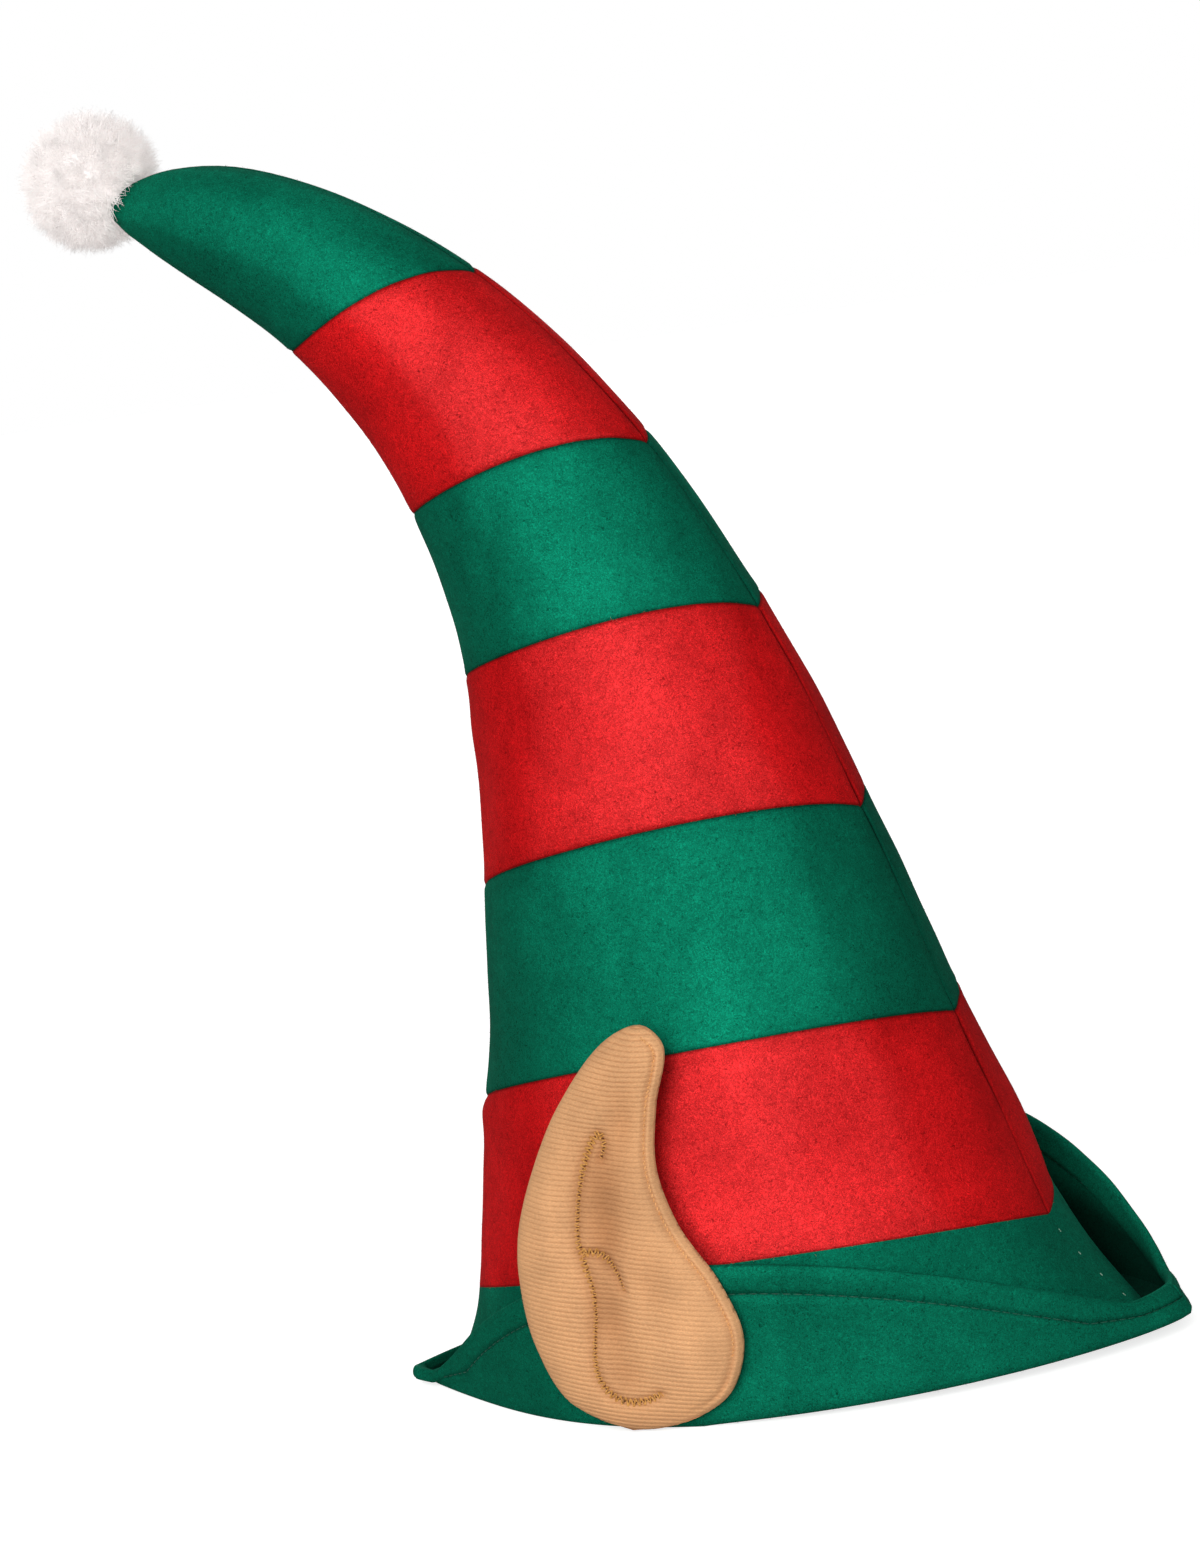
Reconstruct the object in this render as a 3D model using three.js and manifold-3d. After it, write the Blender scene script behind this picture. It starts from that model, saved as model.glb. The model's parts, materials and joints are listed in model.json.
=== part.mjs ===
// Striped felt elf hat with a turned-up pointed brim, two padded ears and a pompom.
// Millimetres. +X is the front of the hat, +Z is up, and the wearer's right is -Y.
import * as THREE from "three";
import { mergeVertices } from "three/addons/utils/BufferGeometryUtils.js";
import Module from "manifold-3d";

// Felt and the gaps between pieces
const feltWall = 2;
const pieceGap = 0.3;

// Crown: a horn of two mirrored panels, each sewn from six stripes
const crownLength = 477;
const crownHalfDepth = 106.5;
const crownBaseHeight = 32;
const baseRoundness = 0.84;
const tipRoundness = 0.92;

// Brim: a strip that hangs from the crown, folds outward and turns up as a cuff
const brimSideReach = 6.5;
const brimPointedness = 1.5;
const frontTip = {
  reach: 44,
  sideways: 0,
  lift: 5,
  cuffHeight: 11.5,
  cuffFall: 2.1,
  lowFrom: 0.94,
  splay: -7,
  splayCurve: 5,
};
const backTip = {
  reach: 17.5,
  sideways: 28,
  lift: 0,
  cuffHeight: 4,
  cuffFall: 2.2,
  lowFrom: 0.93,
  splay: 8,
  splayCurve: 8,
};
const liftStart = 0.06;
const liftCurve = 0.7;
const sidewaysCurve = 6;
const stripFootShare = { side: 0.2, tip: 0.6 };
const stripFlare = 1.15;
const foldRound = 1.6;
const foldCorner = 1.1;
const hemWidth = 10;
const hemStepShare = 0.12;
const hemShareOfLowCuff = 0.6;
const rightCuff = { height: 54.5, flare: 0, towards: 1 };
const leftCuff = { height: 68, flare: 9, towards: -1 };
const cuffFlareCurve = 1.3;

// Ears: padded, sewn from two layers, the lower half over the cuff
const earWidth = 77;
const earHeight = 135;
const earThickness = 9;
const earEdgeThickness = 3;
const earFloorGap = 1;
const earCuffGap = 0.8;
const earBackEdgeX = -49;
const earLean = 13.5;
const earBendSoftness = 10;

// Pompom: a ball of fluffy locks over the crown's tip
const pompomRadius = 24.5;
const lockLength = 4.5;
const lockRoot = 4;
const lockCount = 64;
const lockRadius = 5.2;
const lockTipRadius = 3.4;
const pompomBehindTip = 9;
const pompomAboveTip = 11;

// How finely each surface is divided
const panelColumns = 14;
const stripeRows = 5;
const stripRows = 3;
const brimStations = 30;
const earRows = 14;
const earColumns = 8;
const earEndFall = 6;
const lockSides = 5;
const seatRing = 16;
const spineSteps = 400;

// The crown's spine: share of its length, backward lean in degrees, share of the base half depth
const crownRows = [
  { along: 0.0, lean: 3.3, girth: 1.0 },
  { along: 0.1, lean: 3.4, girth: 0.886 },
  { along: 0.2, lean: 4.9, girth: 0.774 },
  { along: 0.3, lean: 6.4, girth: 0.674 },
  { along: 0.4, lean: 10.0, girth: 0.579 },
  { along: 0.5, lean: 17.3, girth: 0.484 },
  { along: 0.6, lean: 26.6, girth: 0.405 },
  { along: 0.7, lean: 38.3, girth: 0.341 },
  { along: 0.8, lean: 51.2, girth: 0.28 },
  { along: 0.9, lean: 63.7, girth: 0.214 },
  { along: 0.95, lean: 73.0, girth: 0.158 },
  { along: 0.985, lean: 80.5, girth: 0.088 },
  { along: 1.0, lean: 84.0, girth: 0.038 },
];

// The lower seam of each stripe at the front seam, mid side and back seam, as shares of the crown
const stripeRowsFromBrim = [
  { name: "red_1", colour: 0xc41b1e, front: 0.009, side: 0.04, back: 0.0 },
  { name: "green_2", colour: 0x066951, front: 0.161, side: 0.185, back: 0.143 },
  { name: "red_3", colour: 0xc41b1e, front: 0.311, side: 0.338, back: 0.304 },
  { name: "green_4", colour: 0x066951, front: 0.453, side: 0.485, back: 0.482 },
  { name: "red_5", colour: 0xc41b1e, front: 0.575, side: 0.614, back: 0.632 },
  { name: "green_6", colour: 0x066951, front: 0.728, side: 0.774, back: 0.82 },
];
const crownTop = { front: 1, side: 1, back: 1 };

// The ear's two edges from its bottom to its tip, as shares of its width and height
const earBackEdge = [
  { across: 0.49, up: 0.0 },
  { across: 0.16, up: 0.072 },
  { across: 0.03, up: 0.22 },
  { across: 0.0, up: 0.38 },
  { across: 0.03, up: 0.53 },
  { across: 0.12, up: 0.68 },
  { across: 0.245, up: 0.817 },
  { across: 0.455, up: 0.958 },
  { across: 0.64, up: 1.0 },
];
const earFrontEdge = [
  { across: 0.49, up: 0.0 },
  { across: 0.87, up: 0.065 },
  { across: 1.0, up: 0.21 },
  { across: 0.93, up: 0.36 },
  { across: 0.77, up: 0.51 },
  { across: 0.685, up: 0.65 },
  { across: 0.7, up: 0.8 },
  { across: 0.75, up: 0.94 },
  { across: 0.64, up: 1.0 },
];

const wasm = await Module();
wasm.setup();

const lerp = THREE.MathUtils.lerp;
const clamp = THREE.MathUtils.clamp;
const shares = (count) => Array.from({ length: count + 1 }, (_, i) => i / count);

// Smooth reading of one column of a table at a share between its rows
function readColumn(rows, key, column, at) {
  const last = rows.length - 1;
  let i = 0;
  while (i < last - 1 && rows[i + 1][key] < at) i += 1;
  const [a, b] = [rows[i], rows[i + 1]];
  const before = rows[Math.max(i - 1, 0)];
  const after = rows[Math.min(i + 2, last)];
  const step = b[key] - a[key];
  const startSlope = ((b[column] - before[column]) / (b[key] - before[key])) * step;
  const endSlope = ((after[column] - a[column]) / (after[key] - a[key])) * step;
  const t = clamp((at - a[key]) / step, 0, 1);
  const rise = b[column] - a[column];
  const bend = (startSlope - rise) * (1 - t) + (rise - endSlope) * t;
  return a[column] + rise * t + t * (1 - t) * bend;
}

// The spine from the head opening to the tip, added up in short steps
const spine = [new THREE.Vector3(0, 0, crownBaseHeight)];
for (let i = 0; i < spineSteps; i += 1) {
  const lean = THREE.MathUtils.degToRad(readColumn(crownRows, "along", "lean", (i + 0.5) / spineSteps));
  const step = crownLength / spineSteps;
  const direction = new THREE.Vector3(-Math.sin(lean), 0, Math.cos(lean));
  spine.push(spine[i].clone().addScaledVector(direction, step));
}
function spinePoint(along) {
  const at = clamp(along, 0, 1) * spineSteps;
  const i = Math.min(Math.floor(at), spineSteps - 1);
  return spine[i].clone().lerp(spine[i + 1], at - i);
}

// A point of the crown's right panel: around runs 0 to 1 from the front seam to the back seam
function crownPoint(along, around, inset = 0) {
  const lean = THREE.MathUtils.degToRad(readColumn(crownRows, "along", "lean", along));
  const halfDepth = crownHalfDepth * readColumn(crownRows, "along", "girth", along);
  const halfWidth = halfDepth * lerp(baseRoundness, tipRoundness, clamp(along, 0, 1));
  const forward = (halfDepth - inset) * Math.cos(Math.PI * around);
  const outward = (halfWidth - inset) * Math.sin(Math.PI * around);
  const point = spinePoint(along);
  point.x += forward * Math.cos(lean);
  point.z += forward * Math.sin(lean);
  point.y -= outward + pieceGap / 2;
  return point;
}

// A seam's share of the crown's length, a curve through its front, mid side and back values
function seamShare(seam, around) {
  const t = around;
  return seam.front * (1 - t) * (1 - 2 * t) + 4 * seam.side * t * (1 - t) + seam.back * t * (2 * t - 1);
}

// A closed mesh between two grids of points that share their layout, row by row
function slab(outer, inner) {
  const rows = outer.length;
  const columns = outer[0].length;
  const points = [...outer.flat(), ...inner.flat()];
  const at = (side, row, column) => side * rows * columns + row * columns + column;
  const faces = [];
  const quad = (a, b, c, d) => faces.push([a, b, c], [a, c, d]);
  for (let r = 0; r < rows - 1; r += 1) {
    for (let c = 0; c < columns - 1; c += 1) {
      quad(at(0, r, c), at(0, r, c + 1), at(0, r + 1, c + 1), at(0, r + 1, c));
      quad(at(1, r, c), at(1, r + 1, c), at(1, r + 1, c + 1), at(1, r, c + 1));
    }
    quad(at(0, r, 0), at(0, r + 1, 0), at(1, r + 1, 0), at(1, r, 0));
    const c = columns - 1;
    quad(at(0, r, c), at(1, r, c), at(1, r + 1, c), at(0, r + 1, c));
  }
  for (let c = 0; c < columns - 1; c += 1) {
    quad(at(0, 0, c), at(1, 0, c), at(1, 0, c + 1), at(0, 0, c + 1));
    const r = rows - 1;
    quad(at(0, r, c), at(0, r, c + 1), at(1, r, c + 1), at(1, r, c));
  }
  return closedMesh(points, faces);
}

// Joins equal vertices, drops the faces that this collapses and turns the rest outward
function closedMesh(points, faces) {
  const loose = new THREE.BufferGeometry().setFromPoints(points);
  loose.setIndex(faces.flat());
  const joined = mergeVertices(loose, 1e-4);
  const index = joined.index.array;
  const kept = [];
  for (let i = 0; i < index.length; i += 3) {
    const [a, b, c] = [index[i], index[i + 1], index[i + 2]];
    if (a !== b && b !== c && c !== a) kept.push(a, b, c);
  }
  joined.setIndex(signedVolume(joined, kept) < 0 ? kept.reverse() : kept);
  return joined;
}
function signedVolume(geometry, index) {
  const corner = [0, 1, 2].map(() => new THREE.Vector3());
  let volume = 0;
  for (let i = 0; i < index.length; i += 3) {
    corner.forEach((v, k) => v.fromBufferAttribute(geometry.attributes.position, index[i + k]));
    volume += corner[0].dot(corner[1].clone().cross(corner[2]));
  }
  return volume;
}

// The same mesh on the wearer's left
function mirrored(geometry) {
  const copy = geometry.clone().scale(1, -1, 1);
  copy.setIndex(Array.from(copy.index.array).reverse());
  return copy;
}

// One half of a stripe, from its lower seam to the next one
function stripeHalf(lower, upper) {
  const gapShare = pieceGap / 2 / crownLength;
  const upperGap = upper === crownTop ? 0 : gapShare;
  const sheet = (inset) =>
    shares(panelColumns).map((around) =>
      shares(stripeRows).map((up) => {
        const low = seamShare(lower, around) + gapShare;
        const high = seamShare(upper, around) - upperGap;
        return crownPoint(lerp(low, high, up), around, inset);
      }),
    );
  return slab(sheet(0), sheet(feltWall));
}

// The half width of the brim's fold at mid side
const brimHalfWidth = crownHalfDepth * baseRoundness + brimSideReach;

// The tip that a station of the brim lies towards, and how far along: 0 at mid side, 1 at the tip
const nearTip = (around) => (around < 0.5 ? frontTip : backTip);
const tipShare = (around) => Math.abs(Math.cos(Math.PI * around));

// The outer edge of the fold, seen from above, and its height over the floor:
// a tip that is turned sideways lies towards the wearer's right on both halves
function foldEdge(around, cuff) {
  const tip = nearTip(around);
  const x = (crownHalfDepth + tip.reach) * Math.cos(Math.PI * around);
  const y = -brimHalfWidth * Math.sin(Math.PI * around) ** brimPointedness - pieceGap / 2;
  const aside = tip.sideways * tipShare(around) ** sidewaysCurve * cuff.towards;
  const lifted = clamp((tipShare(around) - liftStart) / (1 - liftStart), 0, 1);
  return new THREE.Vector3(x, y - aside, tip.lift * lifted ** liftCurve);
}

// The height of the cuff over its fold, tall at the side and low at the tips
function cuffHeight(around, sideHeight) {
  const tip = nearTip(around);
  const fallen = Math.min(tipShare(around) / tip.lowFrom, 1) ** tip.cuffFall;
  return lerp(sideHeight, tip.cuffHeight, fallen);
}

// The middle line of the felt across the brim, with the wall on each side of it:
// out is counted from the crown's edge, and the hem's inner side has the turned felt too
function brimSection(around, cuff) {
  const top = crownPoint(seamShare(stripeRowsFromBrim[0], around), around);
  top.z -= pieceGap;
  const fold = foldEdge(around, cuff);
  const span = new THREE.Vector2(fold.x - top.x, fold.y - top.y);
  const half = feltWall / 2;
  const footOut = span.length() * lerp(stripFootShare.side, stripFootShare.tip, tipShare(around));
  const cuffOut = span.length() - half;
  const floor = fold.z + half;
  const foot = floor + foldRound;
  const height = cuffHeight(around, cuff.height);
  const hemTop = fold.z + height;
  const hem = Math.min(hemWidth, (hemTop - foot) * hemShareOfLowCuff);
  const hemStep = hem * hemStepShare;
  const splay = nearTip(around).splay * tipShare(around) ** nearTip(around).splayCurve;
  const flare = (z) =>
    cuff.flare * (Math.max(z - foot, 0) / (cuff.height - foot)) ** cuffFlareCurve +
    (splay * Math.max(z - foot, 0)) / (hemTop - foot);
  const upright = (z, inner) => ({ out: cuffOut + flare(z), z, outer: half, inner });
  const folded = half + feltWall;
  const line = [
    ...shares(stripRows).map((down) => ({
      out: lerp(-half, footOut, down ** stripFlare),
      z: lerp(top.z, foot, down),
      outer: half,
      inner: half,
    })),
    { out: footOut + foldCorner, z: floor, outer: half, inner: half },
    { out: cuffOut - foldCorner, z: floor, outer: half, inner: half },
    upright(foot, half),
    upright(lerp(foot, hemTop - hem, 0.5), half),
    upright(hemTop - hem, half),
    upright(hemTop - hem + hemStep, folded),
    upright(hemTop - hemStep, folded),
    upright(hemTop, half),
  ];
  return { top, direction: span.normalize(), line };
}

// The way in which the wall's faces stand off a point of the section, level at the top edge
function mitreAt(line, i) {
  const normalOf = (a, b) => new THREE.Vector2(a.z - b.z, b.out - a.out).normalize();
  if (i === 0) return new THREE.Vector2(1, 0);
  const into = normalOf(line[i - 1], line[i]);
  const away = i < line.length - 1 ? normalOf(line[i], line[i + 1]) : into;
  return into.clone().add(away).divideScalar(1 + into.dot(away));
}

// One half of the brim: the section swept from the front tip to the back tip
function brimHalf(cuff) {
  const sheet = (side) =>
    shares(brimStations).map((around) => {
      const { top, direction, line } = brimSection(around, cuff);
      return line.map((point, i) => {
        const mitre = mitreAt(line, i);
        const offset = side === "outer" ? -point.outer : point.inner;
        const out = point.out + mitre.x * offset;
        const z = point.z + mitre.y * offset;
        return new THREE.Vector3(top.x + direction.x * out, top.y + direction.y * out, z);
      });
    });
  return slab(sheet("outer"), sheet("inner"));
}

// The face of an ear's back at a height up the ear: upright over the cuff, then leaning in
function earFace(up, cuff) {
  const lean = THREE.MathUtils.degToRad(earLean);
  const over = up - cuff.height - earBendSoftness;
  const past = over > earBendSoftness ? over : (over + earBendSoftness) ** 2 / (4 * earBendSoftness);
  const leaned = over < -earBendSoftness ? 0 : past;
  const upright = up - leaned;
  const cuffFace = brimHalfWidth + earCuffGap + cuff.flare * Math.min(up / cuff.height, 1);
  return {
    z: earFloorGap + upright + leaned * Math.cos(lean),
    y: -cuffFace + leaned * Math.sin(lean),
  };
}

// A padded ear, flat behind and cushioned in front, on the wearer's right
function ear(cuff) {
  const edge = (rows) =>
    new THREE.CatmullRomCurve3(
      rows.map((row) => new THREE.Vector3(earBackEdgeX + row.across * earWidth, row.up * earHeight, 0)),
    );
  const back = edge(earBackEdge);
  const front = edge(earFrontEdge);
  const sheet = (cushion) =>
    shares(earRows).map((row) => {
      const share = (row + (1 - Math.cos(Math.PI * row)) / 2) / 2;
      return shares(earColumns).map((column) => {
        const across = (1 - Math.cos(Math.PI * column)) / 2;
        const flat = back.getPoint(share).lerp(front.getPoint(share), across);
        const crowned = Math.sqrt(Math.max(1 - (2 * across - 1) ** 2, 0));
        const endFall = Math.sqrt(Math.max(1 - (2 * share - 1) ** earEndFall, 0));
        const padding = earEdgeThickness + (earThickness - earEdgeThickness) * crowned * endFall;
        const face = earFace(flat.y, cuff);
        return new THREE.Vector3(flat.x, face.y - (cushion ? padding : 0), face.z);
      });
    });
  return slab(sheet(true), sheet(false));
}

// Manifold solid of a closed geometry, and back
function toSolid(geometry) {
  const bare = geometry.clone();
  bare.deleteAttribute("normal");
  bare.deleteAttribute("uv");
  const merged = mergeVertices(bare, 1e-4);
  return new wasm.Manifold(
    new wasm.Mesh({
      numProp: 3,
      vertProperties: merged.attributes.position.array,
      triVerts: new Uint32Array(merged.index.array),
    }),
  );
}
function fromSolid(solid) {
  const mesh = solid.getMesh();
  return new THREE.BufferGeometry()
    .setAttribute("position", new THREE.BufferAttribute(mesh.vertProperties, 3))
    .setIndex(new THREE.BufferAttribute(mesh.triVerts, 1));
}

// The crown's tip grown by the gap: the seat that the pompom leaves for it
function tipSeat() {
  const seatRows = crownRows.filter((row) => row.along >= 0.9).map((row) => row.along);
  const rings = seatRows.map((along) => {
    const ring = [];
    for (let i = 0; i < seatRing; i += 1) {
      const turn = (2 * i) / seatRing;
      const point = crownPoint(along, turn <= 1 ? turn : 2 - turn, -pieceGap * 2);
      if (turn > 1) point.y = -point.y;
      ring.push(point);
    }
    return ring;
  });
  const ends = [seatRows[0], 1].map((along) => spinePoint(along));
  const overshoot = spinePoint(1).sub(ends[0]).setLength(pieceGap * 2);
  rings[rings.length - 1].forEach((point) => point.add(overshoot));
  ends[1].add(overshoot);
  const points = [...rings.flat(), ...ends];
  const faces = [];
  for (let r = 0; r < rings.length - 1; r += 1) {
    for (let i = 0; i < seatRing; i += 1) {
      const j = (i + 1) % seatRing;
      const [a, b] = [r * seatRing + i, r * seatRing + j];
      faces.push([a, b, b + seatRing], [a, b + seatRing, a + seatRing]);
    }
  }
  const top = (rings.length - 1) * seatRing;
  for (let i = 0; i < seatRing; i += 1) {
    const j = (i + 1) % seatRing;
    faces.push([j, i, points.length - 2], [top + i, top + j, points.length - 1]);
  }
  return closedMesh(points, faces);
}

// A ball with tapered locks all round, less the seat for the tip
function pompom(centre) {
  const coreRadius = pompomRadius - lockLength;
  const root = coreRadius - lockRoot;
  let ball = toSolid(new THREE.IcosahedronGeometry(coreRadius, 2));
  const golden = Math.PI * (3 - Math.sqrt(5));
  for (let i = 0; i < lockCount; i += 1) {
    const height = 1 - (2 * i + 1) / lockCount;
    const around = golden * i;
    const level = Math.sqrt(1 - height * height);
    const outward = new THREE.Vector3(level * Math.cos(around), level * Math.sin(around), height);
    const lock = new THREE.CylinderGeometry(lockTipRadius, lockRadius, pompomRadius - root, lockSides);
    lock.translate(0, (pompomRadius + root) / 2, 0);
    lock.applyQuaternion(new THREE.Quaternion().setFromUnitVectors(new THREE.Vector3(0, 1, 0), outward));
    ball = ball.add(toSolid(lock));
  }
  const seat = tipSeat().translate(-centre.x, -centre.y, -centre.z);
  return fromSolid(ball.subtract(toSolid(seat)));
}

const hat = new THREE.Group();
function addPiece(name, geometry, colour, roughness, place = new THREE.Vector3()) {
  geometry.computeVertexNormals();
  const material = new THREE.MeshStandardMaterial({ color: colour, roughness, metalness: 0 });
  const mesh = new THREE.Mesh(geometry, material);
  mesh.name = name;
  mesh.position.copy(place);
  hat.add(mesh);
}
function addPair(name, geometry, colour, roughness) {
  addPiece(`${name}_right`, geometry, colour, roughness);
  addPiece(`${name}_left`, mirrored(geometry), colour, roughness);
}

const feltRoughness = 0.95;
const earRoughness = 0.85;
const furRoughness = 1;

stripeRowsFromBrim.forEach((stripe, i) => {
  const upper = stripeRowsFromBrim[i + 1] ?? crownTop;
  addPair(`crown_${stripe.name}`, stripeHalf(stripe, upper), stripe.colour, feltRoughness);
});
addPiece("brim_right", brimHalf(rightCuff), 0x05593f, feltRoughness);
addPiece("brim_left", mirrored(brimHalf(leftCuff)), 0x05593f, feltRoughness);
addPiece("ear_right", ear(rightCuff), 0xdea473, earRoughness);
addPiece("ear_left", mirrored(ear(leftCuff)), 0xdea473, earRoughness);

const pompomCentre = spinePoint(1).add(new THREE.Vector3(-pompomBehindTip, 0, pompomAboveTip));
addPiece("pompom", pompom(pompomCentre), 0xf4f0ef, furRoughness, pompomCentre);

// The origin is under the middle of the hat's box, on the surface that it stands on
const box = new THREE.Box3().setFromObject(hat, true);
const middle = box.getCenter(new THREE.Vector3());
hat.position.set(-middle.x, -middle.y, -box.min.z);

export default hat;
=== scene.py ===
"""Looks of a striped felt elf hat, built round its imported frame."""

import json
import math

import bpy
import numpy as np
from bpy.props import FloatProperty, FloatVectorProperty, IntProperty, PointerProperty
from mathutils import Matrix, Vector

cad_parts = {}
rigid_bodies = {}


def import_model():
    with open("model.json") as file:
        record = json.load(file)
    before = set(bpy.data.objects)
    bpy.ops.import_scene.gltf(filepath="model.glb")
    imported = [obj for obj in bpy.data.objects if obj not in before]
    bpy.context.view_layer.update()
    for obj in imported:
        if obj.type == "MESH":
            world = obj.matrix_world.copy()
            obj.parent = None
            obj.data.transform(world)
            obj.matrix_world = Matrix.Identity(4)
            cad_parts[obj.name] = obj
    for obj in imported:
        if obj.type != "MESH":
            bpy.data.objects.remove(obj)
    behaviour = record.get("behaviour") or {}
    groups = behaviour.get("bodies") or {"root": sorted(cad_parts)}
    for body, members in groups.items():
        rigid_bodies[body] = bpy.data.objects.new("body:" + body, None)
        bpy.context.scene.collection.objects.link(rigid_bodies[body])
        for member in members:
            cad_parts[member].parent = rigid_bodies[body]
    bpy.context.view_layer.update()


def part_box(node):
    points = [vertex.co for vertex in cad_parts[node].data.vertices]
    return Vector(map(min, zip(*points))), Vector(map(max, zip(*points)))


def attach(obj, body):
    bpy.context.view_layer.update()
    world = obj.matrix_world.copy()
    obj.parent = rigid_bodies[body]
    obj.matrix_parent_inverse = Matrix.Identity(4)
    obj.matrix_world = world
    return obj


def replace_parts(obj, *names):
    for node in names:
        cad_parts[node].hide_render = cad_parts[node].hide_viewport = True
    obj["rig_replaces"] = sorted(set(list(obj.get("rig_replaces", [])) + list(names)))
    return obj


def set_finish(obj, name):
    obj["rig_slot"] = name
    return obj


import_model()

bl_info = {
    "name": "Elf hat",
    "version": (1, 0, 0),
    "blender": (4, 5, 0),
    "location": "View3D > Sidebar > Elf hat",
    "description": "Felt, twill, thread and fur pieces of a striped elf hat",
    "category": "Object",
}

MM = 0.001

# The hat's own sizes in millimetres, as its solids have them. +X is its front and -Y the wearer's right.
FELT_WALL = 2.0
CROWN_LENGTH = 477.0
CROWN_HALF_DEPTH = 106.5
CROWN_BASE_HEIGHT = 32.0
BASE_ROUNDNESS, TIP_ROUNDNESS = 0.84, 0.92
BRIM_HALF_WIDTH = CROWN_HALF_DEPTH * BASE_ROUNDNESS + 6.5
BRIM_POINTEDNESS = 1.5
FRONT_TIP = {
    "reach": 44,
    "sideways": 0,
    "lift": 5,
    "cuff_height": 11.5,
    "cuff_fall": 2.1,
    "low_from": 0.94,
    "splay": -7,
    "splay_curve": 5,
}
BACK_TIP = {
    "reach": 17.5,
    "sideways": 28,
    "lift": 0,
    "cuff_height": 4,
    "cuff_fall": 2.2,
    "low_from": 0.93,
    "splay": 8,
    "splay_curve": 8,
}
LIFT_START, LIFT_CURVE = 0.06, 0.7
SIDEWAYS_CURVE = 6
STRIP_FOOT_SHARE = {"side": 0.2, "tip": 0.6}
STRIP_FLARE = 1.15
FOLD_ROUND = 1.6
FOLD_CORNER = 1.1
HEM_WIDTH = 10.0
HEM_SHARE_OF_LOW_CUFF = 0.6
CUFFS = {
    "right": {"height": 54.5, "flare": 0, "towards": 1},
    "left": {"height": 68, "flare": 9, "towards": -1},
}
CUFF_FLARE_CURVE = 1.3
EAR_WIDTH, EAR_HEIGHT, EAR_BACK_X = 77.0, 135.0, -49.0
EAR_FLOOR_GAP, EAR_CUFF_GAP = 1.0, 0.8
EAR_LEAN, EAR_BEND_SOFTNESS = 13.5, 10.0
POMPOM_BEHIND_TIP, POMPOM_ABOVE_TIP = 9.0, 11.0

# The crown's spine: share of its length, backward lean in degrees, share of the base half depth
CROWN_ROWS = [
    {"along": 0.0, "lean": 3.3, "girth": 1.0},
    {"along": 0.1, "lean": 3.4, "girth": 0.886},
    {"along": 0.2, "lean": 4.9, "girth": 0.774},
    {"along": 0.3, "lean": 6.4, "girth": 0.674},
    {"along": 0.4, "lean": 10.0, "girth": 0.579},
    {"along": 0.5, "lean": 17.3, "girth": 0.484},
    {"along": 0.6, "lean": 26.6, "girth": 0.405},
    {"along": 0.7, "lean": 38.3, "girth": 0.341},
    {"along": 0.8, "lean": 51.2, "girth": 0.28},
    {"along": 0.9, "lean": 63.7, "girth": 0.214},
    {"along": 0.95, "lean": 73.0, "girth": 0.158},
    {"along": 0.985, "lean": 80.5, "girth": 0.088},
    {"along": 1.0, "lean": 84.0, "girth": 0.038},
]

# The lower seam of each stripe at the front seam, mid side and back seam, as shares of the crown
STRIPES = [
    {"name": "red_1", "front": 0.009, "side": 0.04, "back": 0.0},
    {"name": "green_2", "front": 0.161, "side": 0.185, "back": 0.143},
    {"name": "red_3", "front": 0.311, "side": 0.338, "back": 0.304},
    {"name": "green_4", "front": 0.453, "side": 0.485, "back": 0.482},
    {"name": "red_5", "front": 0.575, "side": 0.614, "back": 0.632},
    {"name": "green_6", "front": 0.728, "side": 0.774, "back": 0.82},
]
CROWN_TOP = {"name": "top", "front": 1, "side": 1, "back": 1}

# Soft dents and swells of the crown: place along and around, reach of each in shares, outward height in mm
CROWN_SWELLS = [
    {"along": 0.148, "around": 0.93, "long": 0.018, "wide": 0.10, "out": 1.7},
    {"along": 0.445, "around": 0.97, "long": 0.020, "wide": 0.10, "out": 1.3},
    {"along": 0.385, "around": 0.80, "long": 0.060, "wide": 0.07, "out": -1.6},
    {"along": 0.375, "around": 0.62, "long": 0.070, "wide": 0.12, "out": 1.2},
    {"along": 0.240, "around": 0.30, "long": 0.090, "wide": 0.08, "out": -1.3},
    {"along": 0.100, "around": 0.24, "long": 0.070, "wide": 0.07, "out": -1.8},
    {"along": 0.080, "around": 0.10, "long": 0.060, "wide": 0.05, "out": 1.2},
    {"along": 0.100, "around": 0.80, "long": 0.050, "wide": 0.06, "out": -1.4},
    {"along": 0.680, "around": 0.55, "long": 0.050, "wide": 0.15, "out": 0.9},
    {"along": 0.900, "around": 0.50, "long": 0.040, "wide": 0.25, "out": 0.8},
]

# Edges of the band down each panel that the felt paints lighter and glossier as a highlight, as shares along
# and around
HIGHLIGHT_BAND = [
    {"along": 0.0, "front": 0.19, "back": 0.64},
    {"along": 0.3, "front": 0.19, "back": 0.67},
    {"along": 0.4, "front": 0.17, "back": 0.61},
    {"along": 0.5, "front": 0.06, "back": 0.58},
    {"along": 0.6, "front": 0.05, "back": 0.55},
    {"along": 0.7, "front": 0.04, "back": 0.48},
    {"along": 1.0, "front": 0.12, "back": 0.60},
]

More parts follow.
